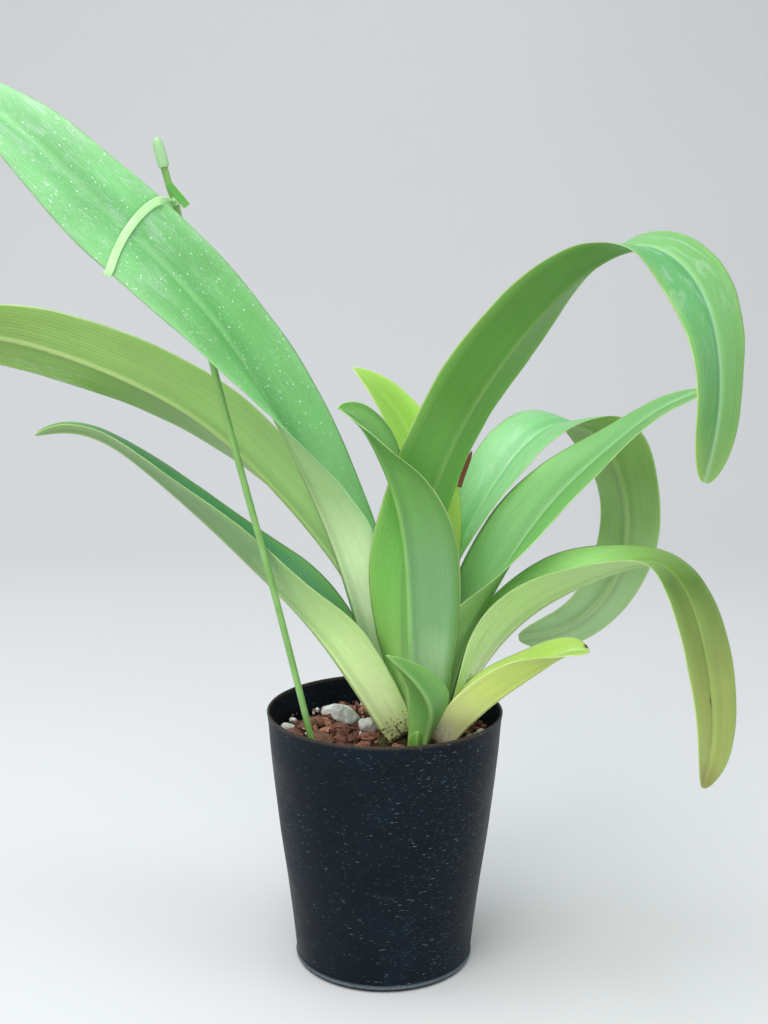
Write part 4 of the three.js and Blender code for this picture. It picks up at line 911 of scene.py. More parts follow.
def coated_material(name, low, mid, high, rough, axis_fade=True):
    """Smooth plastic over a rod or strip: faint lengthwise drawing lines."""
    k = Nodes(name)
    a, b, c = k.split(k.attr("strip"))
    lines = k.noise(k.join(k.math("MULTIPLY", a, 1.9), k.math("MULTIPLY", b, 0.035), c), 1.0, 3.0, 0.6)
    cloud = k.noise(k.join(k.math("MULTIPLY", a, 0.25), k.math("MULTIPLY", b, 0.06), c), 1.0, 3.0, 0.6)
    dust = k.noise(k.join(k.math("MULTIPLY", a, 1.3), k.math("MULTIPLY", b, 0.9), c), 1.0, 4.0, 0.75)
    base = k.ramp(k.math("ADD", k.math("MULTIPLY", cloud, 0.7), k.math("MULTIPLY", lines, 0.3)), [(0.3, hexa(low)), (0.5, hexa(mid)), (0.72, hexa(high))])
    base = k.mix(k.remap(dust, 0.62, 0.78, 0.0, 0.4), base, hexa("c9d8c2"))
    k.set(Base_Color=base)
    k.set(Roughness=k.remap(dust, 0.4, 0.75, rough, rough + 0.22))
    k.set(Normal=k.bump(k.math("ADD", lines, k.math("MULTIPLY", dust, 0.4)), 0.08, 0.6))
    k.bsdf.inputs["Coat Weight"].default_value = 0.15
    k.bsdf.inputs["Coat Roughness"].default_value = 0.25
    return k.mat


# ----------------------------------------------------------------------- pot
def build_pot():
    zs = np.concatenate([np.linspace(5, 130, 90), [130.8, 131.4]])
    r_of = lambda z: np.interp(z, [p[1] for p in OUTSIDE[4:]], [p[0] for p in OUTSIDE[4:]])
    smooth = np.array([np.mean([r_of(z + d) for d in (-4, -2, 0, 2, 4)]) if 9 < z < 124 else r_of(z) for z in zs])
    outer = [(43.0, 0.0), (43.7, 0.08), (44.4, 0.35), (45.05, 0.85), (45.5, 1.45), (45.78, 2.1), (45.85, 2.8), (45.75, 3.5), (45.58, 4.2), (45.5, 4.8)]
    outer += [(r, z) for r, z in zip(smooth, zs)]
    outer += [(59.82, 131.8), (59.93, 132.2), (59.9, 132.55), (59.7, 132.8), (59.35, 132.9), (59.0, 132.85), (58.75, 132.6), (58.6, 132.1), (58.5, 131.3)]
    inner = [(r_of(z) - 1.2, z) for z in np.linspace(129, 8, 44)]
    inner += [(44.55, 5.5), (44.2, 3.6), (43.4, 2.3), (42.4, 1.8)]
    profile = outer + inner
    seg = 176
    th = np.arange(seg) / seg * 2 * np.pi
    verts = []
    for r, z in profile:
        u = z / 132.9
        # a thin warm-formed wall is never perfectly round
        wob = u * (0.12 * np.sin(2 * th + 0.7) + 0.07 * np.sin(3 * th + 2.1 + u) + 0.03 * np.sin(7 * th + 3 * u))
        rr = r + wob * (1 if z > 5 else 0)
        verts += np.stack([rr * np.cos(th), rr * np.sin(th), np.full(seg, float(z))], 1).tolist()
    n = len(profile)
    faces = grid_faces(n, seg, close_cols=True)
    # floor rings inside and under
    def disc(z, r_out, first, up):
        rings = [r_out * f for f in (0.86, 0.72, 0.56, 0.36, 0.16)]
        base = len(verts)
        for r in rings:
            verts.extend(np.stack([r * np.cos(th), r * np.sin(th), np.full(seg, z)], 1).tolist())
        verts.append([0, 0, z])
        prev = first
        for i in range(len(rings)):
            cur = base + i * seg
            for j in range(seg):
                a, b, c, d = prev + j, prev + (j + 1) % seg, cur + (j + 1) % seg, cur + j
                faces.append([a, b, c, d] if up else [d, c, b, a])
            prev = cur
        centre = len(verts) - 1
        for j in range(seg):
            t = [prev + j, prev + (j + 1) % seg, centre]
            faces.append(t if up else t[::-1])
    disc(1.8, 42.4, (n - 1) * seg, True)
    disc(0.0, 43.0, 0, False)
    obj = new_object("pot_wall", verts, faces, pot_material(), sharp=60)
    # drain holes
    cv, cf = [], []
    for i in range(8):
        a = (i + 0.5) / 8 * 2 * math.pi
        cx, cy = 31 * math.cos(a), 31 * math.sin(a)
        o = len(cv)
        m = 28
        for z in (-3.0, 5.0):
            cv += [[cx + 4 * math.cos(t / m * 2 * math.pi), cy + 4 * math.sin(t / m * 2 * math.pi), z] for t in range(m)]
        cf += [[o + t, o + (t + 1) % m, o + m + (t + 1) % m, o + m + t] for t in range(m)]
        cf += [[o + t for t in range(m)][::-1], [o + m + t for t in range(m)]]
    cutter = new_object("cutter", cv, cf, pot_material())
    mod = obj.modifiers.new("holes", "BOOLEAN")
    mod.operation, mod.object, mod.solver = "DIFFERENCE", cutter, "EXACT"
    apply(obj)
    bpy.data.objects.remove(cutter)
    while len(obj.data.materials) > 1:
        obj.data.materials.pop()
    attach(obj, "root")
    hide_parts("pot")


def apply(obj):
    """Bakes the object's modifiers into its mesh."""
    dg = bpy.context.evaluated_depsgraph_get()
    mesh = bpy.data.meshes.new_from_object(obj.evaluated_get(dg))
    obj.modifiers.clear()
    old = obj.data
    obj.data = mesh
    bpy.data.meshes.remove(old)


# ---------------------------------------------------------------------- bark
def icosphere(level):
    import bmesh
    bm = bmesh.new()
    bmesh.ops.create_icosphere(bm, subdivisions=level, radius=1.0)
    v = np.array([x.co[:] for x in bm.verts])
    f = [[q.index for q in p.verts] for p in bm.faces]
    bm.free()
    return v, f


ICO = {n: icosphere(n) for n in (1, 2, 3, 4)}


def turn(rx, ry, rz):
    m = Matrix.Rotation(rz, 3, "Z") @ Matrix.Rotation(ry, 3, "Y") @ Matrix.Rotation(rx, 3, "X")
    return np.array(m)


def chunk(level, half, rnd, roughness=0.10, planes=7, power=0.55):
    """An angular flake: a boxy lump with flats split off it and torn faces."""
    v, f = ICO[level]
    p = np.sign(v) * np.abs(v) ** power
    p = p / np.max(np.abs(p))
    for _ in range(planes):
        n = unit(np.array([rnd.gauss(0, 1), rnd.gauss(0, 1), rnd.gauss(0, 0.55)]))
        d = rnd.uniform(0.62, 0.95)
        over = np.maximum(p @ n - d, 0)
        p = p - over[:, None] * n
    p = p * np.array(half)
    # torn along the grain (x), in steps
    size = float(np.mean(half))
    off = rnd.uniform(0, 50)
    out = p.copy()
    nv = unit(p / np.array(half) ** 2)
    for i, q in enumerate(p):
        a = noise.fractal(Vector((q[0] * 0.10 / size * 4 + off, q[1] * 0.55, q[2] * 0.75)), 0.9, 2.2, 3, noise_basis="PERLIN_ORIGINAL")
        b = noise.noise(Vector((q[0] * 0.9 + off, q[1] * 1.6, q[2] * 1.6)), noise_basis="PERLIN_ORIGINAL")
        out[i] = q + nv[i] * (a * roughness * size * 1.5 + b * roughness * size * 0.5)
    return out, f


def fits(x, y, r=0.0):
    """Clear of the crown, the stake and the wall."""
    if math.hypot(x, y) + r * 0.7 > 55.5:
        return False
    for cx, cy, cr in ((8, -6, 13), (24, -20, 13), (17, -33, 8), (-36, -26, 2.5)):
        if math.hypot(x - cx, y - cy) < cr:
            return False
    return True


def build_bark():
    mat = bark_material()
    # the eighteen large chips that lie on top
    for i, (x, y, r, aspect, ang, thick, tx, ty, seed) in enumerate(CHIPS):
        rnd = random.Random(seed * 13 + 5)
        half = np.array([r * 0.98, r * aspect * 0.98, thick * 0.62])
        p, f = chunk(4, half, rnd, 0.085, planes=9, power=0.5)
        R = turn(math.radians(tx), math.radians(ty), math.radians(ang))
        w = p @ R.T
        low = np.percentile(w[:, 2], 6)
        w = w + np.array([x, y, 117.6 - low])
        rad = np.hypot(w[:, 0], w[:, 1])
        lim = np.interp(w[:, 2], [113, 126], [56.7, 57.6])
        w[:, :2] *= np.minimum(1, lim / np.maximum(rad, 1e-6))[:, None]
        tone = (rnd.uniform(0.15, 0.95), rnd.random(), rnd.random())
        obj = new_object(f"bark_flake_{i + 1:02d}", w, f, mat, attributes={"chip": p + seed * 3.7, "tone": [tone] * len(w)})
        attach(obj, "root")
        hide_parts(f"bark_chip_{i + 1:02d}")
    # the chips between and under them
    rnd = random.Random(20)
    for batch in range(3):
        V, F, C, T = [], [], [], []
        for _ in range(58):
            for _try in range(60):
                a, q = rnd.uniform(0, 2 * math.pi), 55 * math.sqrt(rnd.random())
                x, y = q * math.cos(a), q * math.sin(a)
                if fits(x, y, 3):
                    break
            L = rnd.uniform(2.6, 7.2) if batch else rnd.uniform(4.5, 8.5)
            half = np.array([L, L * rnd.uniform(0.4, 0.75), L * rnd.uniform(0.2, 0.42)])
            p, f = chunk(2 if batch == 1 else 3, half, rnd, 0.10, planes=8, power=0.42)
            R = turn(rnd.gauss(0, 0.42), rnd.gauss(0, 0.42), rnd.uniform(0, 6.28))
            w = p @ R.T
            lift = {0: 115.4, 1: 116.0, 2: 116.8}[batch] + rnd.uniform(-0.8, 1.4)
            w = w + np.array([x, y, lift])
            rad = np.hypot(w[:, 0], w[:, 1])
            lim = np.interp(w[:, 2], [110, 126], [56.3, 57.5])
            w[:, :2] *= np.minimum(1, lim / np.maximum(rad, 1e-6))[:, None]
            o = len(V)
            V.extend(w.tolist())
            F.extend([[k2 + o for k2 in t] for t in f])
            C.extend((p + rnd.uniform(0, 300)).tolist())
            tone = (rnd.random() ** 1.2, rnd.random(), rnd.random())
            T.extend([tone] * len(w))
        obj = new_object(f"bark_mixed_{batch + 1}", V, F, mat, attributes={"chip": C, "tone": T})
        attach(obj, "root")
    # crumbs
    V, F, C, T = [], [], [], []
    for _ in range(420):
        a, q = rnd.uniform(0, 2 * math.pi), 56 * math.sqrt(rnd.random())
        x, y = q * math.cos(a), q * math.sin(a)
        L = rnd.uniform(0.5, 1.7)
        p, f = chunk(1, np.array([L, L * 0.7, L * 0.5]), rnd, 0.14, planes=5)
        w = p @ turn(rnd.gauss(0, 1), rnd.gauss(0, 1), rnd.uniform(0, 6.28)).T + np.array([x, y, 117.4 + rnd.uniform(-1.0, 3.2)])
        if np.max(np.hypot(w[:, 0], w[:, 1])) > 57:
            continue
        o = len(V)
        V.extend(w.tolist())
        F.extend([[k2 + o for k2 in t] for t in f])
        C.extend((p + rnd.uniform(0, 300)).tolist())
        T.extend([(rnd.random(), rnd.random(), rnd.random())] * len(w))
    obj = new_object("bark_crumbs", V, F, mat, attributes={"chip": C, "tone": T})
    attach(obj, "root")
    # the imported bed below: sides as the pot, top broken up
    prof = [(0.01, 2.1), (21, 2.1), (42.8, 2.1), (44.0, 5.0), (45.9, 23.3), (48.7, 46), (51.9, 68.4), (55.1, 97), (56.4, 110), (56.8, 114.2)]
    prof = prof[:3] + [tuple(p) for p in catmull(prof[3:], 40)]
    seg = 168
    th = np.arange(seg) / seg * 2 * np.pi
    V = []
    for r, z in prof:
        V += np.stack([r * np.cos(th), r * np.sin(th), np.full(seg, float(z))], 1).tolist()
    tops = np.linspace(56.6, 0.4, 58)
    for r in tops:
        for t in th:
            x, y = r * math.cos(t), r * math.sin(t)
            d, _ = noise.voronoi(Vector((x / 3.6, y / 3.6, 3.3)))
            h = 114.6 + 2.0 * min(d[1] - d[0], 0.8) + 0.6 * noise.noise(Vector((x / 1.5, y / 1.5, 1.0)))
            V.append([x, y, h if r < 56 else 114.3])
    rows = len(prof) + len(tops)
    F = grid_faces(rows, seg, close_cols=True)
    F.append(list(range(seg))[::-1])
    F.append([(rows - 1) * seg + j for j in range(seg)])
    V = np.array(V)
    r_side = np.hypot(V[:, 0], V[:, 1])
    side = (r_side > 40) & (V[:, 2] > 2.3) & (V[:, 2] < 114)
    for i in np.nonzero(side)[0]:
        d, _ = noise.voronoi(Vector((V[i] / 4.2).tolist()))
        V[i, :2] *= 1 - min(d[1] - d[0], 0.5) * 0.006
    rt = random.Random(5)
    tone = np.stack([0.25 + 0.3 * np.sin(V[:, 0] * 0.7) * np.cos(V[:, 1] * 0.9), 0.3 + 0 * V[:, 0], 0.5 + 0 * V[:, 0]], 1)
    obj = new_object("bark_packed", V, F, mat, attributes={"chip": V, "tone": tone})
    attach(obj, "root")
    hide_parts("bark_bed")


def build_stones():
    mat = stone_material()
    for i, (name, (x, y, rx, ry, rz)) in enumerate(STONES.items()):
        rnd = random.Random(70 + i * 3)
        v, f = ICO[4]
        p = v.copy()
        for _ in range(9):
            n = unit(np.array([rnd.gauss(0, 1), rnd.gauss(0, 1), rnd.gauss(0, 1)]))
            d = rnd.uniform(0.70, 0.92)
            over = np.maximum(p @ n - d, 0)
            p = p - (over * 0.85)[:, None] * n
        p = p / np.max(np.abs(p), axis=0)
        off = rnd.uniform(0, 90)
        out = []
        for q in p * np.array([rx, ry, rz]) * 1.08:
            a = noise.fractal(Vector((q[0] * 0.30 + off, q[1] * 0.30, q[2] * 0.30)), 0.9, 2.1, 4, noise_basis="PERLIN_ORIGINAL")
            d, _ = noise.voronoi(Vector((q[0] * 0.75 + off, q[1] * 0.75, q[2] * 0.75)))
            out.append(q * (1 + 0.10 * a - 0.05 * max(0.32 - d[0], 0) / 0.32))
        w = np.array(out) @ turn(rnd.gauss(0, 0.15), rnd.gauss(0, 0.15), 0.5).T
        w[:, 2] += 118.0 - w[:, 2].min()
        w[:, :2] += (x, y - (4.0 if y < 40 and x < 0 else 0.0))
        rad = np.hypot(w[:, 0], w[:, 1])
        w[:, :2] *= np.minimum(1, 57.0 / np.maximum(rad, 1e-6))[:, None]
        grey = (0.55 if "large" in name else 0.8) if "grey" in name else rnd.uniform(0.0, 0.10)
        obj = new_object("pebble_" + name[6:], w, f, mat, attributes={"tone": [(grey, rnd.uniform(0, 0.8), 0)] * len(w)})
        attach(obj, "root")
        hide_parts(name)
    # small white bits between the chips
    rnd = random.Random(9)
    V, F, T = [], [], []
    spots = [(-44, 30), (-38, 32), (-12, 33), (-24, 12), (-40, -6), (-33, 40), (2, 44), (30, 8), (46, -4), (40, 20), (-52, 2)]
    spots += [(rnd.uniform(-50, 50), rnd.uniform(-50, 50)) for _ in range(26)]
    for x, y in spots:
        if not fits(x, y, 1):
            continue
        L = rnd.uniform(0.7, 1.9)
        p, f = chunk(2, np.array([L, L * rnd.uniform(0.6, 0.9), L * 0.7]), rnd, 0.10, planes=6, power=0.8)
        w = p @ turn(rnd.gauss(0, 1), rnd.gauss(0, 1), rnd.uniform(0, 6.28)).T + np.array([x, y, 119.6 + rnd.uniform(-0.6, 1.4)])
        o = len(V)
        V.extend(w.tolist())
        F.extend([[k2 + o for k2 in t] for t in f])
        T.extend([(rnd.uniform(0, 0.3), rnd.random(), 0)] * len(w))
    obj = new_object("pumice_bits", V, F, mat, attributes={"tone": T})
    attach(obj, "root")


# ------------------------------------------------------------- rhizome, roots
def remeshed(node, name, voxel, amount, size, material, grow=0.0):
    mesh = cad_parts[node].data.copy()
    obj = bpy.data.objects.new(name, mesh)
    bpy.context.scene.collection.objects.link(obj)
    m = obj.modifiers.new("r", "REMESH")
    m.mode, m.voxel_size = "VOXEL", voxel * MM
    s = obj.modifiers.new("s", "SMOOTH")
    s.factor, s.iterations = 0.6, 4
    apply(obj)
    me = obj.data
    me.materials.clear()
    me.materials.append(material)
    n = len(me.vertices)
    co = np.empty(n * 3)
    me.vertices.foreach_get("co", co)
    no = np.empty(n * 3)
    me.vertex_normals.foreach_get("vector", no)
    co, no = co.reshape(-1, 3) / MM, no.reshape(-1, 3)
    for i in range(n):
        v = noise.fractal(Vector((co[i] / size).tolist()), 0.9, 2.1, 3, noise_basis="PERLIN_ORIGINAL")
        co[i] += no[i] * (v * amount + grow)
    me.vertices.foreach_set("co", (co * MM).ravel())
    me.polygons.foreach_set("use_smooth", [True] * len(me.polygons))
    me.update()
    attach(obj, "root")
    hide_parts(node)
    return obj


def tube(name, path, radius, sides, material, attribute="strip", wobble=0.0, seed=1, caps=True, flare=None):
    path = np.asarray(path, float)
    n = len(path)
    T = unit(np.gradient(path, axis=0))
    up = np.array([0.0, -1.0, 0.0])
    V, A = [], []
    s = np.concatenate([[0], np.cumsum(np.linalg.norm(np.diff(path, axis=0), axis=1))])
    for i in range(n):
        X = unit(np.cross(up, T[i]))
        Y = np.cross(T[i], X)
        r0 = radius if flare is None else radius * flare(s[i] / s[-1])
        for j in range(sides):
            a = j / sides * 2 * math.pi
            r = r0 + wobble * noise.noise(Vector((math.cos(a) * 0.8 + seed, math.sin(a) * 0.8, s[i] / 6)))
            V.append(path[i] + r * (math.cos(a) * X + math.sin(a) * Y))
            A.append((r0 * math.sin(a) * 2 + math.cos(a), s[i], seed))
    F = grid_faces(n, sides, close_cols=True)
    if caps:
        F.append(list(range(sides))[::-1])
        F.append([(n - 1) * sides + j for j in range(sides)])
    return new_object(name, V, F, material, attributes={attribute: A}, sharp=50)


def build_underground():
    rh = root_material("rhizome_skin", "3d3021", "5a5a2c", "1d140c")
    remeshed("rhizome", "rhizome_lumps", 0.9, 0.55, 3.2, rh)
    rm = root_material("root_felt", "5a432b", "7b6040", "33241a")
    for i, pts in enumerate(ROOTS):
        path = catmull(pts, 90)
        # the root leaves the rhizome at its surface
        tree = cad_tree(f"root_{i + 1}")
        keep = [p for p in path if tree.find_nearest(Vector(p * MM))[3] < 2.4 * MM]
        obj = tube(f"root_{i + 1}_felt", keep, 2.05, 14, rm, wobble=0.35, seed=i + 1)
        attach(obj, "root")
        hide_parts(f"root_{i + 1}")


# --------------------------------------------------------------- stake, tie
def build_stake():
    green = coated_material("stake_coating", "6d9a4e", "7fb25e", "93c274", 0.34)
    obj = tube("stake_rod_coated", catmull(STAKE, 260), 1.66, 22, green, wobble=0.05, seed=3)
    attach(obj, "root")
    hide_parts("stake_rod")
    # cap
    foot, top = np.array(CAP_FOOT), np.array(CAP_TOP)
    L = float(np.linalg.norm(top - foot))
    Z = unit(top - foot)
    X = unit(np.cross(Z, [0, 1, 0]))
    Y = np.cross(Z, X)
    prof = [(1.74, 1.4), (1.76, 0.25), (1.95, 0.0), (2.2, 0.02), (2.38, 0.22), (2.42, 0.7), (2.52, 1.4), (2.58, 2.6), (2.6, 4.5), (2.6, L - 5.2)]
    for a in np.linspace(0, 1, 14)[1:]:
        prof.append((2.6 * math.cos(a * math.pi / 2) ** 0.75 if a < 1 else 0.02, L - 5.2 + 5.2 * math.sin(a * math.pi / 2)))
    seg = 30
    V, A = [], []
    for r, h in prof:
        for j in range(seg):
            a = j / seg * 2 * math.pi
            V.append(foot + Z * h + r * (math.cos(a) * X + math.sin(a) * Y))
            A.append((r * math.sin(a) * 1.5, h, 9))
    F = grid_faces(len(prof), seg, close_cols=True)
    F.append(list(range(seg))[::-1])
    F.append([(len(prof) - 1) * seg + j for j in range(seg)])
    capm = coated_material("cap_plastic", "86b87a", "9dcb92", "b3dba8", 0.36)
    obj = new_object("stake_cap_round", V, F, capm, attributes={"strip": A}, sharp=50)
    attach(obj, "root")
    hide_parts("stake_cap")


def build_tie():
    pale = coated_material("tie_plastic", "a4e08e", "bcf0a8", "d8fcc8", 0.38)
    count = 220
    P = catmull([r[:3] for r in TIE_LOOP], count, closed=True)
    N = unit(catmull([r[3:] for r in TIE_LOOP], count, closed=True))
    T = unit(np.roll(P, -1, 0) - np.roll(P, 1, 0))
    N = unit(N - T * np.sum(N * T, 1, keepdims=True))
    W = np.cross(T, N)
    s = np.cumsum(np.linalg.norm(np.roll(P, -1, 0) - P, axis=1))
    prof = []
    w, h = 1.9, 0.36
    for a in np.linspace(-90, 90, 7):
        prof.append((w - 0.3 + 0.3 * math.cos(math.radians(a)), h * math.sin(math.radians(a))))
    for x in (0.9, 0.3, -0.3, -0.9):
        prof.append((x, h + 0.05 * math.cos(x * 2)))
    for a in np.linspace(90, 270, 7):
        prof.append((-w + 0.3 + 0.3 * math.cos(math.radians(a)), h * math.sin(math.radians(a))))
    for x in (-0.9, -0.3, 0.3, 0.9):
        prof.append((x, -h))
    V, A = [], []
    for i in range(count):
        for x, y in prof:
            V.append(P[i] + W[i] * x + N[i] * y)
            A.append((x, s[i], 1 if y > 0 else 2))
    m = len(prof)
    F = []
    for i in range(count):
        for j in range(m):
            a, b = i * m + j, i * m + (j + 1) % m
            c, d = ((i + 1) % count) * m + (j + 1) % m, ((i + 1) % count) * m + j
            F.append([a, d, c, b])
    obj = new_object("tie_strap", V, F, pale, attributes={"strip": A}, sharp=50)
    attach(obj, "root")
    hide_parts("tie_band")
    # ribbed end
    a, b = np.array(TIE_END[0]), np.array(TIE_END[1])
    L = float(np.linalg.norm(b - a))
    Z = unit(b - a)
    Yv = np.array([0.0, -1.0, 0.0])
    Xv = unit(np.cross(Yv, Z))
    xs = np.linspace(-1.7, 1.7, 37)
    top = [(x, 0.12 + 0.40 * max(0.0, math.cos((x / (3.4 / 3)) * 2 * math.pi)) ** 0.6 if abs(x) < 1.68 else 0.0) for x in xs]
    ring = [(-1.7, -0.35)] + [(x, y) for x, y in top] + [(1.7, -0.35)]
    steps = 26
    V, A = [], []
    for i in range(steps + 1):
        h = L * i / steps
        bend = 0.35 * math.sin(i / steps * math.pi)
        fade = min(1.0, i / 1.5, (steps - i) / 1.5)
        for x, y in ring:
            yy = y * (0.72 + 0.28 * fade) if y > 0 else y
            V.append(a + Z * h + Xv * x * (0.95 + 0.05 * fade) + Yv * (yy + bend * 0.3))
            A.append((x * 2, h, 4))
    m = len(ring)
    F = grid_faces(steps + 1, m, close_cols=True, flip=True)
    F.append(list(range(m)))
    F.append([steps * m + j for j in range(m)][::-1])
    green = coated_material("tie_end_plastic", "4f9a3c", "67b14c", "8ccb6c", 0.36)
    obj = new_object("tie_ribbed_end", V, F, green, attributes={"strip": A}, sharp=40)
    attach(obj, "root")
    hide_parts("tie_end")


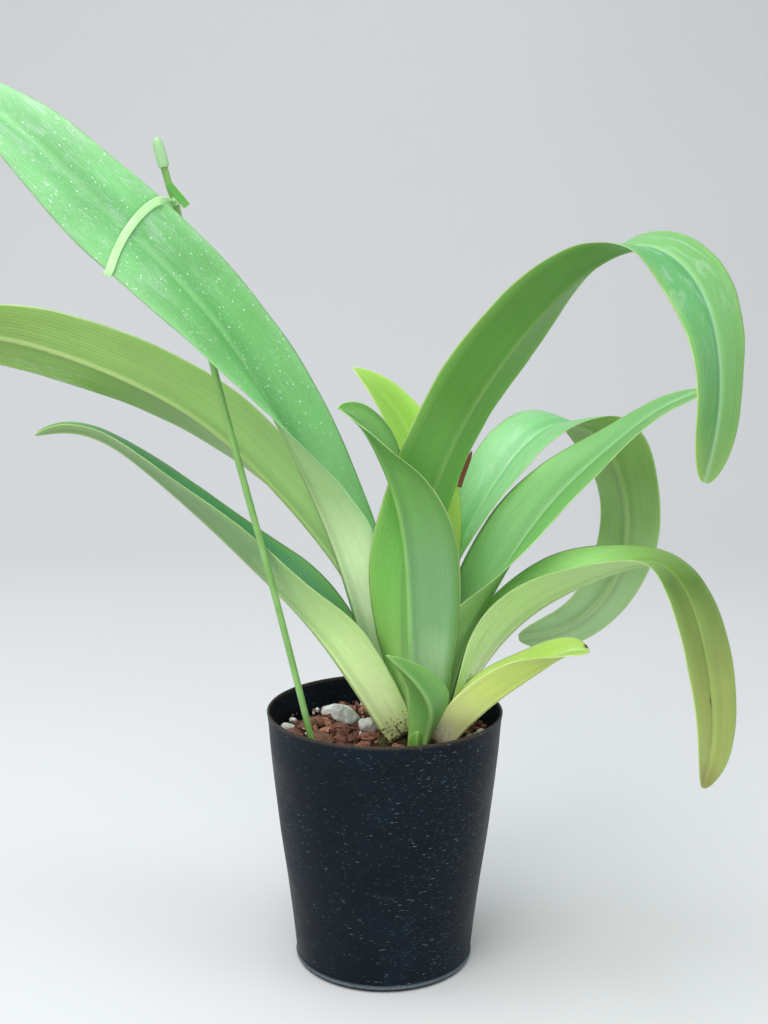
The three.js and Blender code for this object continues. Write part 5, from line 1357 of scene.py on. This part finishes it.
# --------------------------------------------------------------- the leaves
def build_leaves():
    # name: upper-face stops, lower-face stops, material options, mesh options
    # The near-white stops near the leaf bases are partly the bases' own paler colour and partly painted light,
    # lightened to make up for the shade the crown gets here.
    look = {
        "leaf_upper_left": (
            [(0.0, "c4ecaa"), (0.10, "bcecb0"), (0.30, "b0e8a8"), (0.42, "82c87a"), (0.55, "70b866"), (0.72, "7cc67a"), (1.0, "88cc88")],
            [(0.0, "d4f4a8"), (0.16, "e2fcc6"), (0.24, "dcf8bc"), (0.34, "a6cc88"), (0.6, "88b060"), (1.0, "7fa650")],
            dict(dots=(1.0, 0.06, 0.16, 0.75, 1.05), patch=(0.30, 0.52), furrow=0.42, furrow_colour="469c4c", band=0.40, band_colour="9bd396", rough=0.40,
                 pale_edge=0.5, pale_colour="8fd088", rim=0.5, rim_colour="bfe6a8", cloud=0.6, furrow_out=11.0, film_and_sheen=(0.35, 0.5, 0.7, 1.2, 1.3)),
            dict(seed=1.3, groove=0.75, ruffle=0.022, wave=0.7)),
        "leaf_middle_left": (
            [(0.0, "b4d98c"), (0.2, "6fb25c"), (0.6, "5da352"), (1.0, "6aa855")],
            [(0.0, "e4fcc4"), (0.16, "ddf8b8"), (0.30, "acd886"), (0.55, "8eba60"), (0.8, "80a64c"), (1.0, "7c9d44")],
            dict(keel=0.75, keel_colour="c5d98c", keel_shade=0.35, keel_dark="5f8a2e", rough=0.42, film_and_sheen=(0.7, 0.62, 0.72, 1.2, 1.3), film_low=True, side=(-0.35, "6c9a3c"), streak=0.32),
            dict(seed=2.1, keel=0.7, ruffle=0.02, wave=0.5)),
        "leaf_lower_left": (
            [(0.0, "bcdd8c"), (0.2, "69ad68"), (0.5, "4f9a68"), (0.85, "4e9a5a"), (1.0, "6aa84f")],
            [(0.0, "c4cc90"), (0.08, "e6fcb4"), (0.22, "ccee9c"), (0.34, "a2ca7c"), (0.46, "6e965a"), (0.75, "6c9654"), (1.0, "7aa348")],
            dict(grains=(0.9, 0.0, 0.065), keel=0.55, rough=0.40, dots=(0.35, 0.2, 0.5, 1.1, 1.3), pale_edge=0.3),
            dict(seed=3.7, ruffle=0.03)),
        "leaf_front_center": (
            [(0.0, "a9d080"), (0.3, "5fa452"), (1.0, "5b9f58")],
            # the greyish lower-face stops paint a sheen down the blade, and pale_edge turns the margins back to green
            # around it
            [(0.0, "c4e8a8"), (0.20, "b0d8a0"), (0.34, "7cae70"), (0.55, "6c9f60"), (0.7, "5f9c3e"), (1.0, "62a048")],
            dict(keel=0.6, keel_colour="8fc860", side=(-0.6, "86c25e"), rough=0.40, fine=0.2, mottle=0.2, pale_edge=0.85, pale_colour="549030", dots=(0.3, 0.6, 0.8, 1.2, 1.3)),
            dict(seed=4.4, ruffle=0.03, keel=0.8, wave=0.6)),
        "leaf_arching_right": (
            [(0.0, "b4db8a"), (0.2, "66ad55"), (0.48, "88d090"), (0.56, "7cc484"), (0.68, "68b06c"), (0.8, "60a862"), (0.93, "5a9a48"), (1.0, "86a854")],
            [(0.0, "b8e08c"), (0.10, "98cc6c"), (0.20, "72b84a"), (0.32, "66aa42"), (0.42, "4e8a1e"), (0.55, "4a8420"), (0.7, "5c9838"), (1.0, "7aa34a")],
            dict(keel=0.45, keel_colour="93b86c", side=(0.35, "8cc060"), rough=0.42, band=0.55, band_colour="a6d2ae", furrow=0.35, furrow_colour="3f8f52",
                 film_and_sheen=(0.35, 0.46, 0.56, 0.72, 0.95), pale_edge=0.35, rim=0.7, rim_colour="c8d88a"),
            dict(seed=5.2, groove=0.85, ruffle=0.025, wave=0.8)),
        # the young leaf's own yellow-green, lightened to paint the glow of light shining through it
        "leaf_young_center": (
            [(0.0, "c9e686"), (0.3, "b4db5e"), (0.7, "aad656"), (1.0, "9ccf5a")],
            [(0.0, "c5e380"), (0.5, "a9d458"), (1.0, "97c84e")],
            dict(furrow=0.25, furrow_colour="8cc044", band=0.3, band_colour="d2ec8c", pale_colour="cdea80", rough=0.44, sss=0.2, rim_colour="e0f0a0"),
            dict(seed=6.6, ruffle=0.03)),
        "leaf_rear_right": (
            [(0.0, "b0da8c"), (0.15, "86c878"), (0.4, "84ca80"), (0.6, "6db668"), (1.0, "5da256")],
            [(0.0, "a9d07c"), (0.3, "80b052"), (0.6, "7aac46"), (0.74, "8cb866"), (0.86, "b0d698"), (1.0, "b4dc9c")],
            dict(furrow=0.45, furrow_colour="4da25a", band=0.35, rough=0.36, film_and_sheen=(0.3, 0.1, 0.2, 0.45, 0.6), dots=(0.4, 0.05, 0.2, 0.4, 0.6)),
            dict(seed=7.9, ruffle=0.02, wave=0.6)),
        "leaf_straight_right": (
            [(0.0, "c4e8a0"), (0.18, "a4da8a"), (0.4, "80c06c"), (0.75, "70b45e"), (1.0, "7aba6c")],
            [(0.0, "a8d084"), (0.3, "86b866"), (0.7, "7db25c"), (1.0, "7fb45e")],
            dict(furrow=0.3, band=0.35, fine=0.28, streak=0.25, rough=0.42, mottle=0.25),
            dict(seed=8.3, ruffle=0.022, wave=0.55)),
        "leaf_drooping_right": (
            [(0.0, "c0e69c"), (0.2, "b0ea94"), (0.44, "b4ee90"), (0.54, "8cbc58"), (0.62, "5a7e24"), (0.80, "8a9a44"), (0.94, "a3b054"), (1.0, "8a6a35")],
            [(0.0, "f0ffd0"), (0.14, "e4fcbc"), (0.30, "bce08e"), (0.45, "b4da86"), (0.7, "9cc468"), (1.0, "96b04c")],
            dict(furrow=0.35, furrow_colour="6b9438", band=0.3, band_colour="a9c468", rough=0.40, streak=0.35, rim_colour="d8e6a8", marks=MARKS_DROOP),
            dict(seed=9.1, groove=0.7, ruffle=0.02, wave=0.5)),
        "leaf_short_yellow": (
            [(0.0, "c4d47c"), (0.4, "b9d768"), (1.0, "a8cf5a")],
            [(0.0, "a08a78"), (0.07, "d8d4b0"), (0.2, "d4dc90"), (0.4, "c8dc6c"), (0.7, "b8d25c"), (0.95, "a9c24e"), (1.0, "8a7434")],
            dict(grains=(0.35, 0.03, 0.16), keel=0.5, keel_colour="d6e08c", keel_dark="9aa84a", rough=0.42, pale_colour="d2e48c", rim_colour="e4eeb0", furrow=0.25,
                 furrow_colour="a2c452", marks=MARKS_SHORT),
            dict(seed=10.4, ruffle=0.03, step=1.4)),
        "sheath_leaf_front": (
            [(0.0, "9ac06c"), (0.4, "5f9f4c"), (1.0, "5a9a48")],
            [(0.0, "7c7a48"), (0.10, "86b05c"), (0.35, "6aa250"), (0.8, "5a9444"), (1.0, "568c40")],
            dict(keel=0.3, rough=0.42, grains=(0.5, 0.02, 0.09), rim_colour="9cc86c", rim=0.4),
            dict(seed=11.2, ruffle=0.02, step=1.2, thick=(1.3, 0.6))),
        "scale_leaf_front": (
            [(0.0, "8cb85c"), (1.0, "66a040")],
            [(0.0, "7fae4a"), (0.5, "66a23c"), (1.0, "6aa23e")],
            dict(keel=0.2, rough=0.44, rim_colour="b8cf7c"),
            dict(seed=12.1, ruffle=0.02, step=0.6, across_n=9, thick=(1.0, 0.5), rib=0.02, groove=0.2, keel=0.25, wave=0.1)),
        "sheath_leaf_side": (
            [(0.0, "9cc878"), (1.0, "6fae5c")],
            [(0.0, "93c274"), (0.5, "76b162"), (1.0, "6fab5e")],
            dict(keel=0.3, rough=0.42),
            dict(seed=13.5, ruffle=0.02, step=1.0, across_n=10, thick=(1.2, 0.6), groove=0.3, keel=0.3)),
        "dried_bract": (
            [(0.0, "8a4c34"), (1.0, "6e3422")],
            [(0.0, "8a4c34"), (0.6, "7c3e2a"), (1.0, "5c2a1c")],
            dict(keel=0.2, rough=0.7, rim=0.2, rim_colour="a87050", pale_edge=0.2, pale_colour="9a6248", furrow=0.3, furrow_colour="4a2418", band=0.2,
                 band_colour="9c6044", streak=0.9, sss=0.0, coat=0.0),
            dict(seed=14.8, ruffle=0.08, step=0.5, across_n=8, thick=(0.7, 0.35), rib=0.03, groove=0.1, keel=0.1, wave=0.5)),
    }
    for name, (upper, lower, mo, go) in look.items():
        leaf(name, leaf_material(name + "_skin", upper, lower, seed=go["seed"], **mo), **go)


# ------------------------------------------------------- camera, light, floor
def build_stage():
    sc = bpy.context.scene
    cam = bpy.data.cameras.new("camera")
    cam.sensor_width, cam.sensor_fit = 36.0, "AUTO"
    cam.lens = 1429.2 / 1024 * 36
    cam.clip_start, cam.clip_end = 0.01, 30
    ob = bpy.data.objects.new("camera", cam)
    sc.collection.objects.link(ob)
    p, r = math.radians(10.263), math.radians(0.280)
    fwd = np.array([0, math.cos(p), -math.sin(p)])
    r0, u0 = np.array([1.0, 0, 0]), np.array([0, math.sin(p), math.cos(p)])
    right = math.cos(r) * r0 + math.sin(r) * u0
    up = -math.sin(r) * r0 + math.cos(r) * u0
    m = Matrix.Identity(4)
    for i in range(3):
        m[i][0], m[i][1], m[i][2] = right[i], up[i], -fwd[i]
    m[0][3], m[1][3], m[2][3] = -0.0009, -0.7003, 0.3612
    ob.matrix_world = m
    sc.camera = ob

    # floor that sweeps up behind
    prof = [(-2.4, 0.0)] + [(y, 0.0) for y in np.linspace(-1.6, 1.0, 8)]
    for a in np.linspace(0, 90, 14)[1:]:
        prof.append((1.0 + 0.9 * math.sin(math.radians(a)), 0.9 - 0.9 * math.cos(math.radians(a))))
    prof += [(1.9, 1.6), (1.9, 2.6)]
    xs = np.linspace(-3.2, 3.2, 9)
    V = [(x * 1000, y * 1000, z * 1000) for y, z in prof for x in xs]
    k = Nodes("floor_pale")
    soft = k.noise(k.coords(), 1.6, 3.0, 0.5)
    k.set(Base_Color=k.mix(soft, hexa("d9dadb"), hexa("e0e1e1")))
    k.bsdf.inputs["Roughness"].default_value = 0.85
    k.bsdf.inputs["Specular IOR Level"].default_value = 0.2
    floor = new_object("floor", V, grid_faces(len(prof), len(xs)), k.mat)

    w = bpy.data.worlds.new("studio") if not sc.world else sc.world
    sc.world = w
    w.use_nodes = True
    bg = w.node_tree.nodes["Background"]
    bg.inputs[0].default_value = (0.92, 0.965, 1.0, 1.0)
    bg.inputs[1].default_value = 0.42

    def area(name, at, look_at, size, power, colour=(1, 1, 1)):
        d = bpy.data.lights.new(name, "AREA")
        d.shape, d.size, d.size_y = "RECTANGLE", size[0], size[1]
        d.energy, d.color = power, colour
        o = bpy.data.objects.new(name, d)
        o.location = at
        o.rotation_euler = (Vector(look_at) - Vector(at)).to_track_quat("-Z", "Y").to_euler()
        sc.collection.objects.link(o)
    area("sky", (-0.35, -0.25, 1.75), (0, 0, 0.2), (1.9, 1.5), 26.5, (0.95, 0.98, 1.0))
    area("front", (-1.1, -1.6, 1.0), (0, 0, 0.22), (1.2, 1.0), 13, (1.0, 0.985, 0.96))
    area("fill", (-0.05, -1.15, 1.05), (-0.01, 0.0, 0.13), (0.6, 0.5), 3.4, (1.0, 0.99, 0.97))
    area("side", (1.5, -0.5, 0.8), (0, 0, 0.25), (0.9, 1.1), 5, (0.95, 0.98, 1.0))
    sc.view_settings.view_transform = "Standard"
    sc.view_settings.look = "None"
    sc.view_settings.exposure = 0.0
    sc.view_settings.gamma = 1.0


build_stage()
build_pot()
build_bark()
build_stones()
build_underground()
build_stake()
build_tie()
build_leaves()
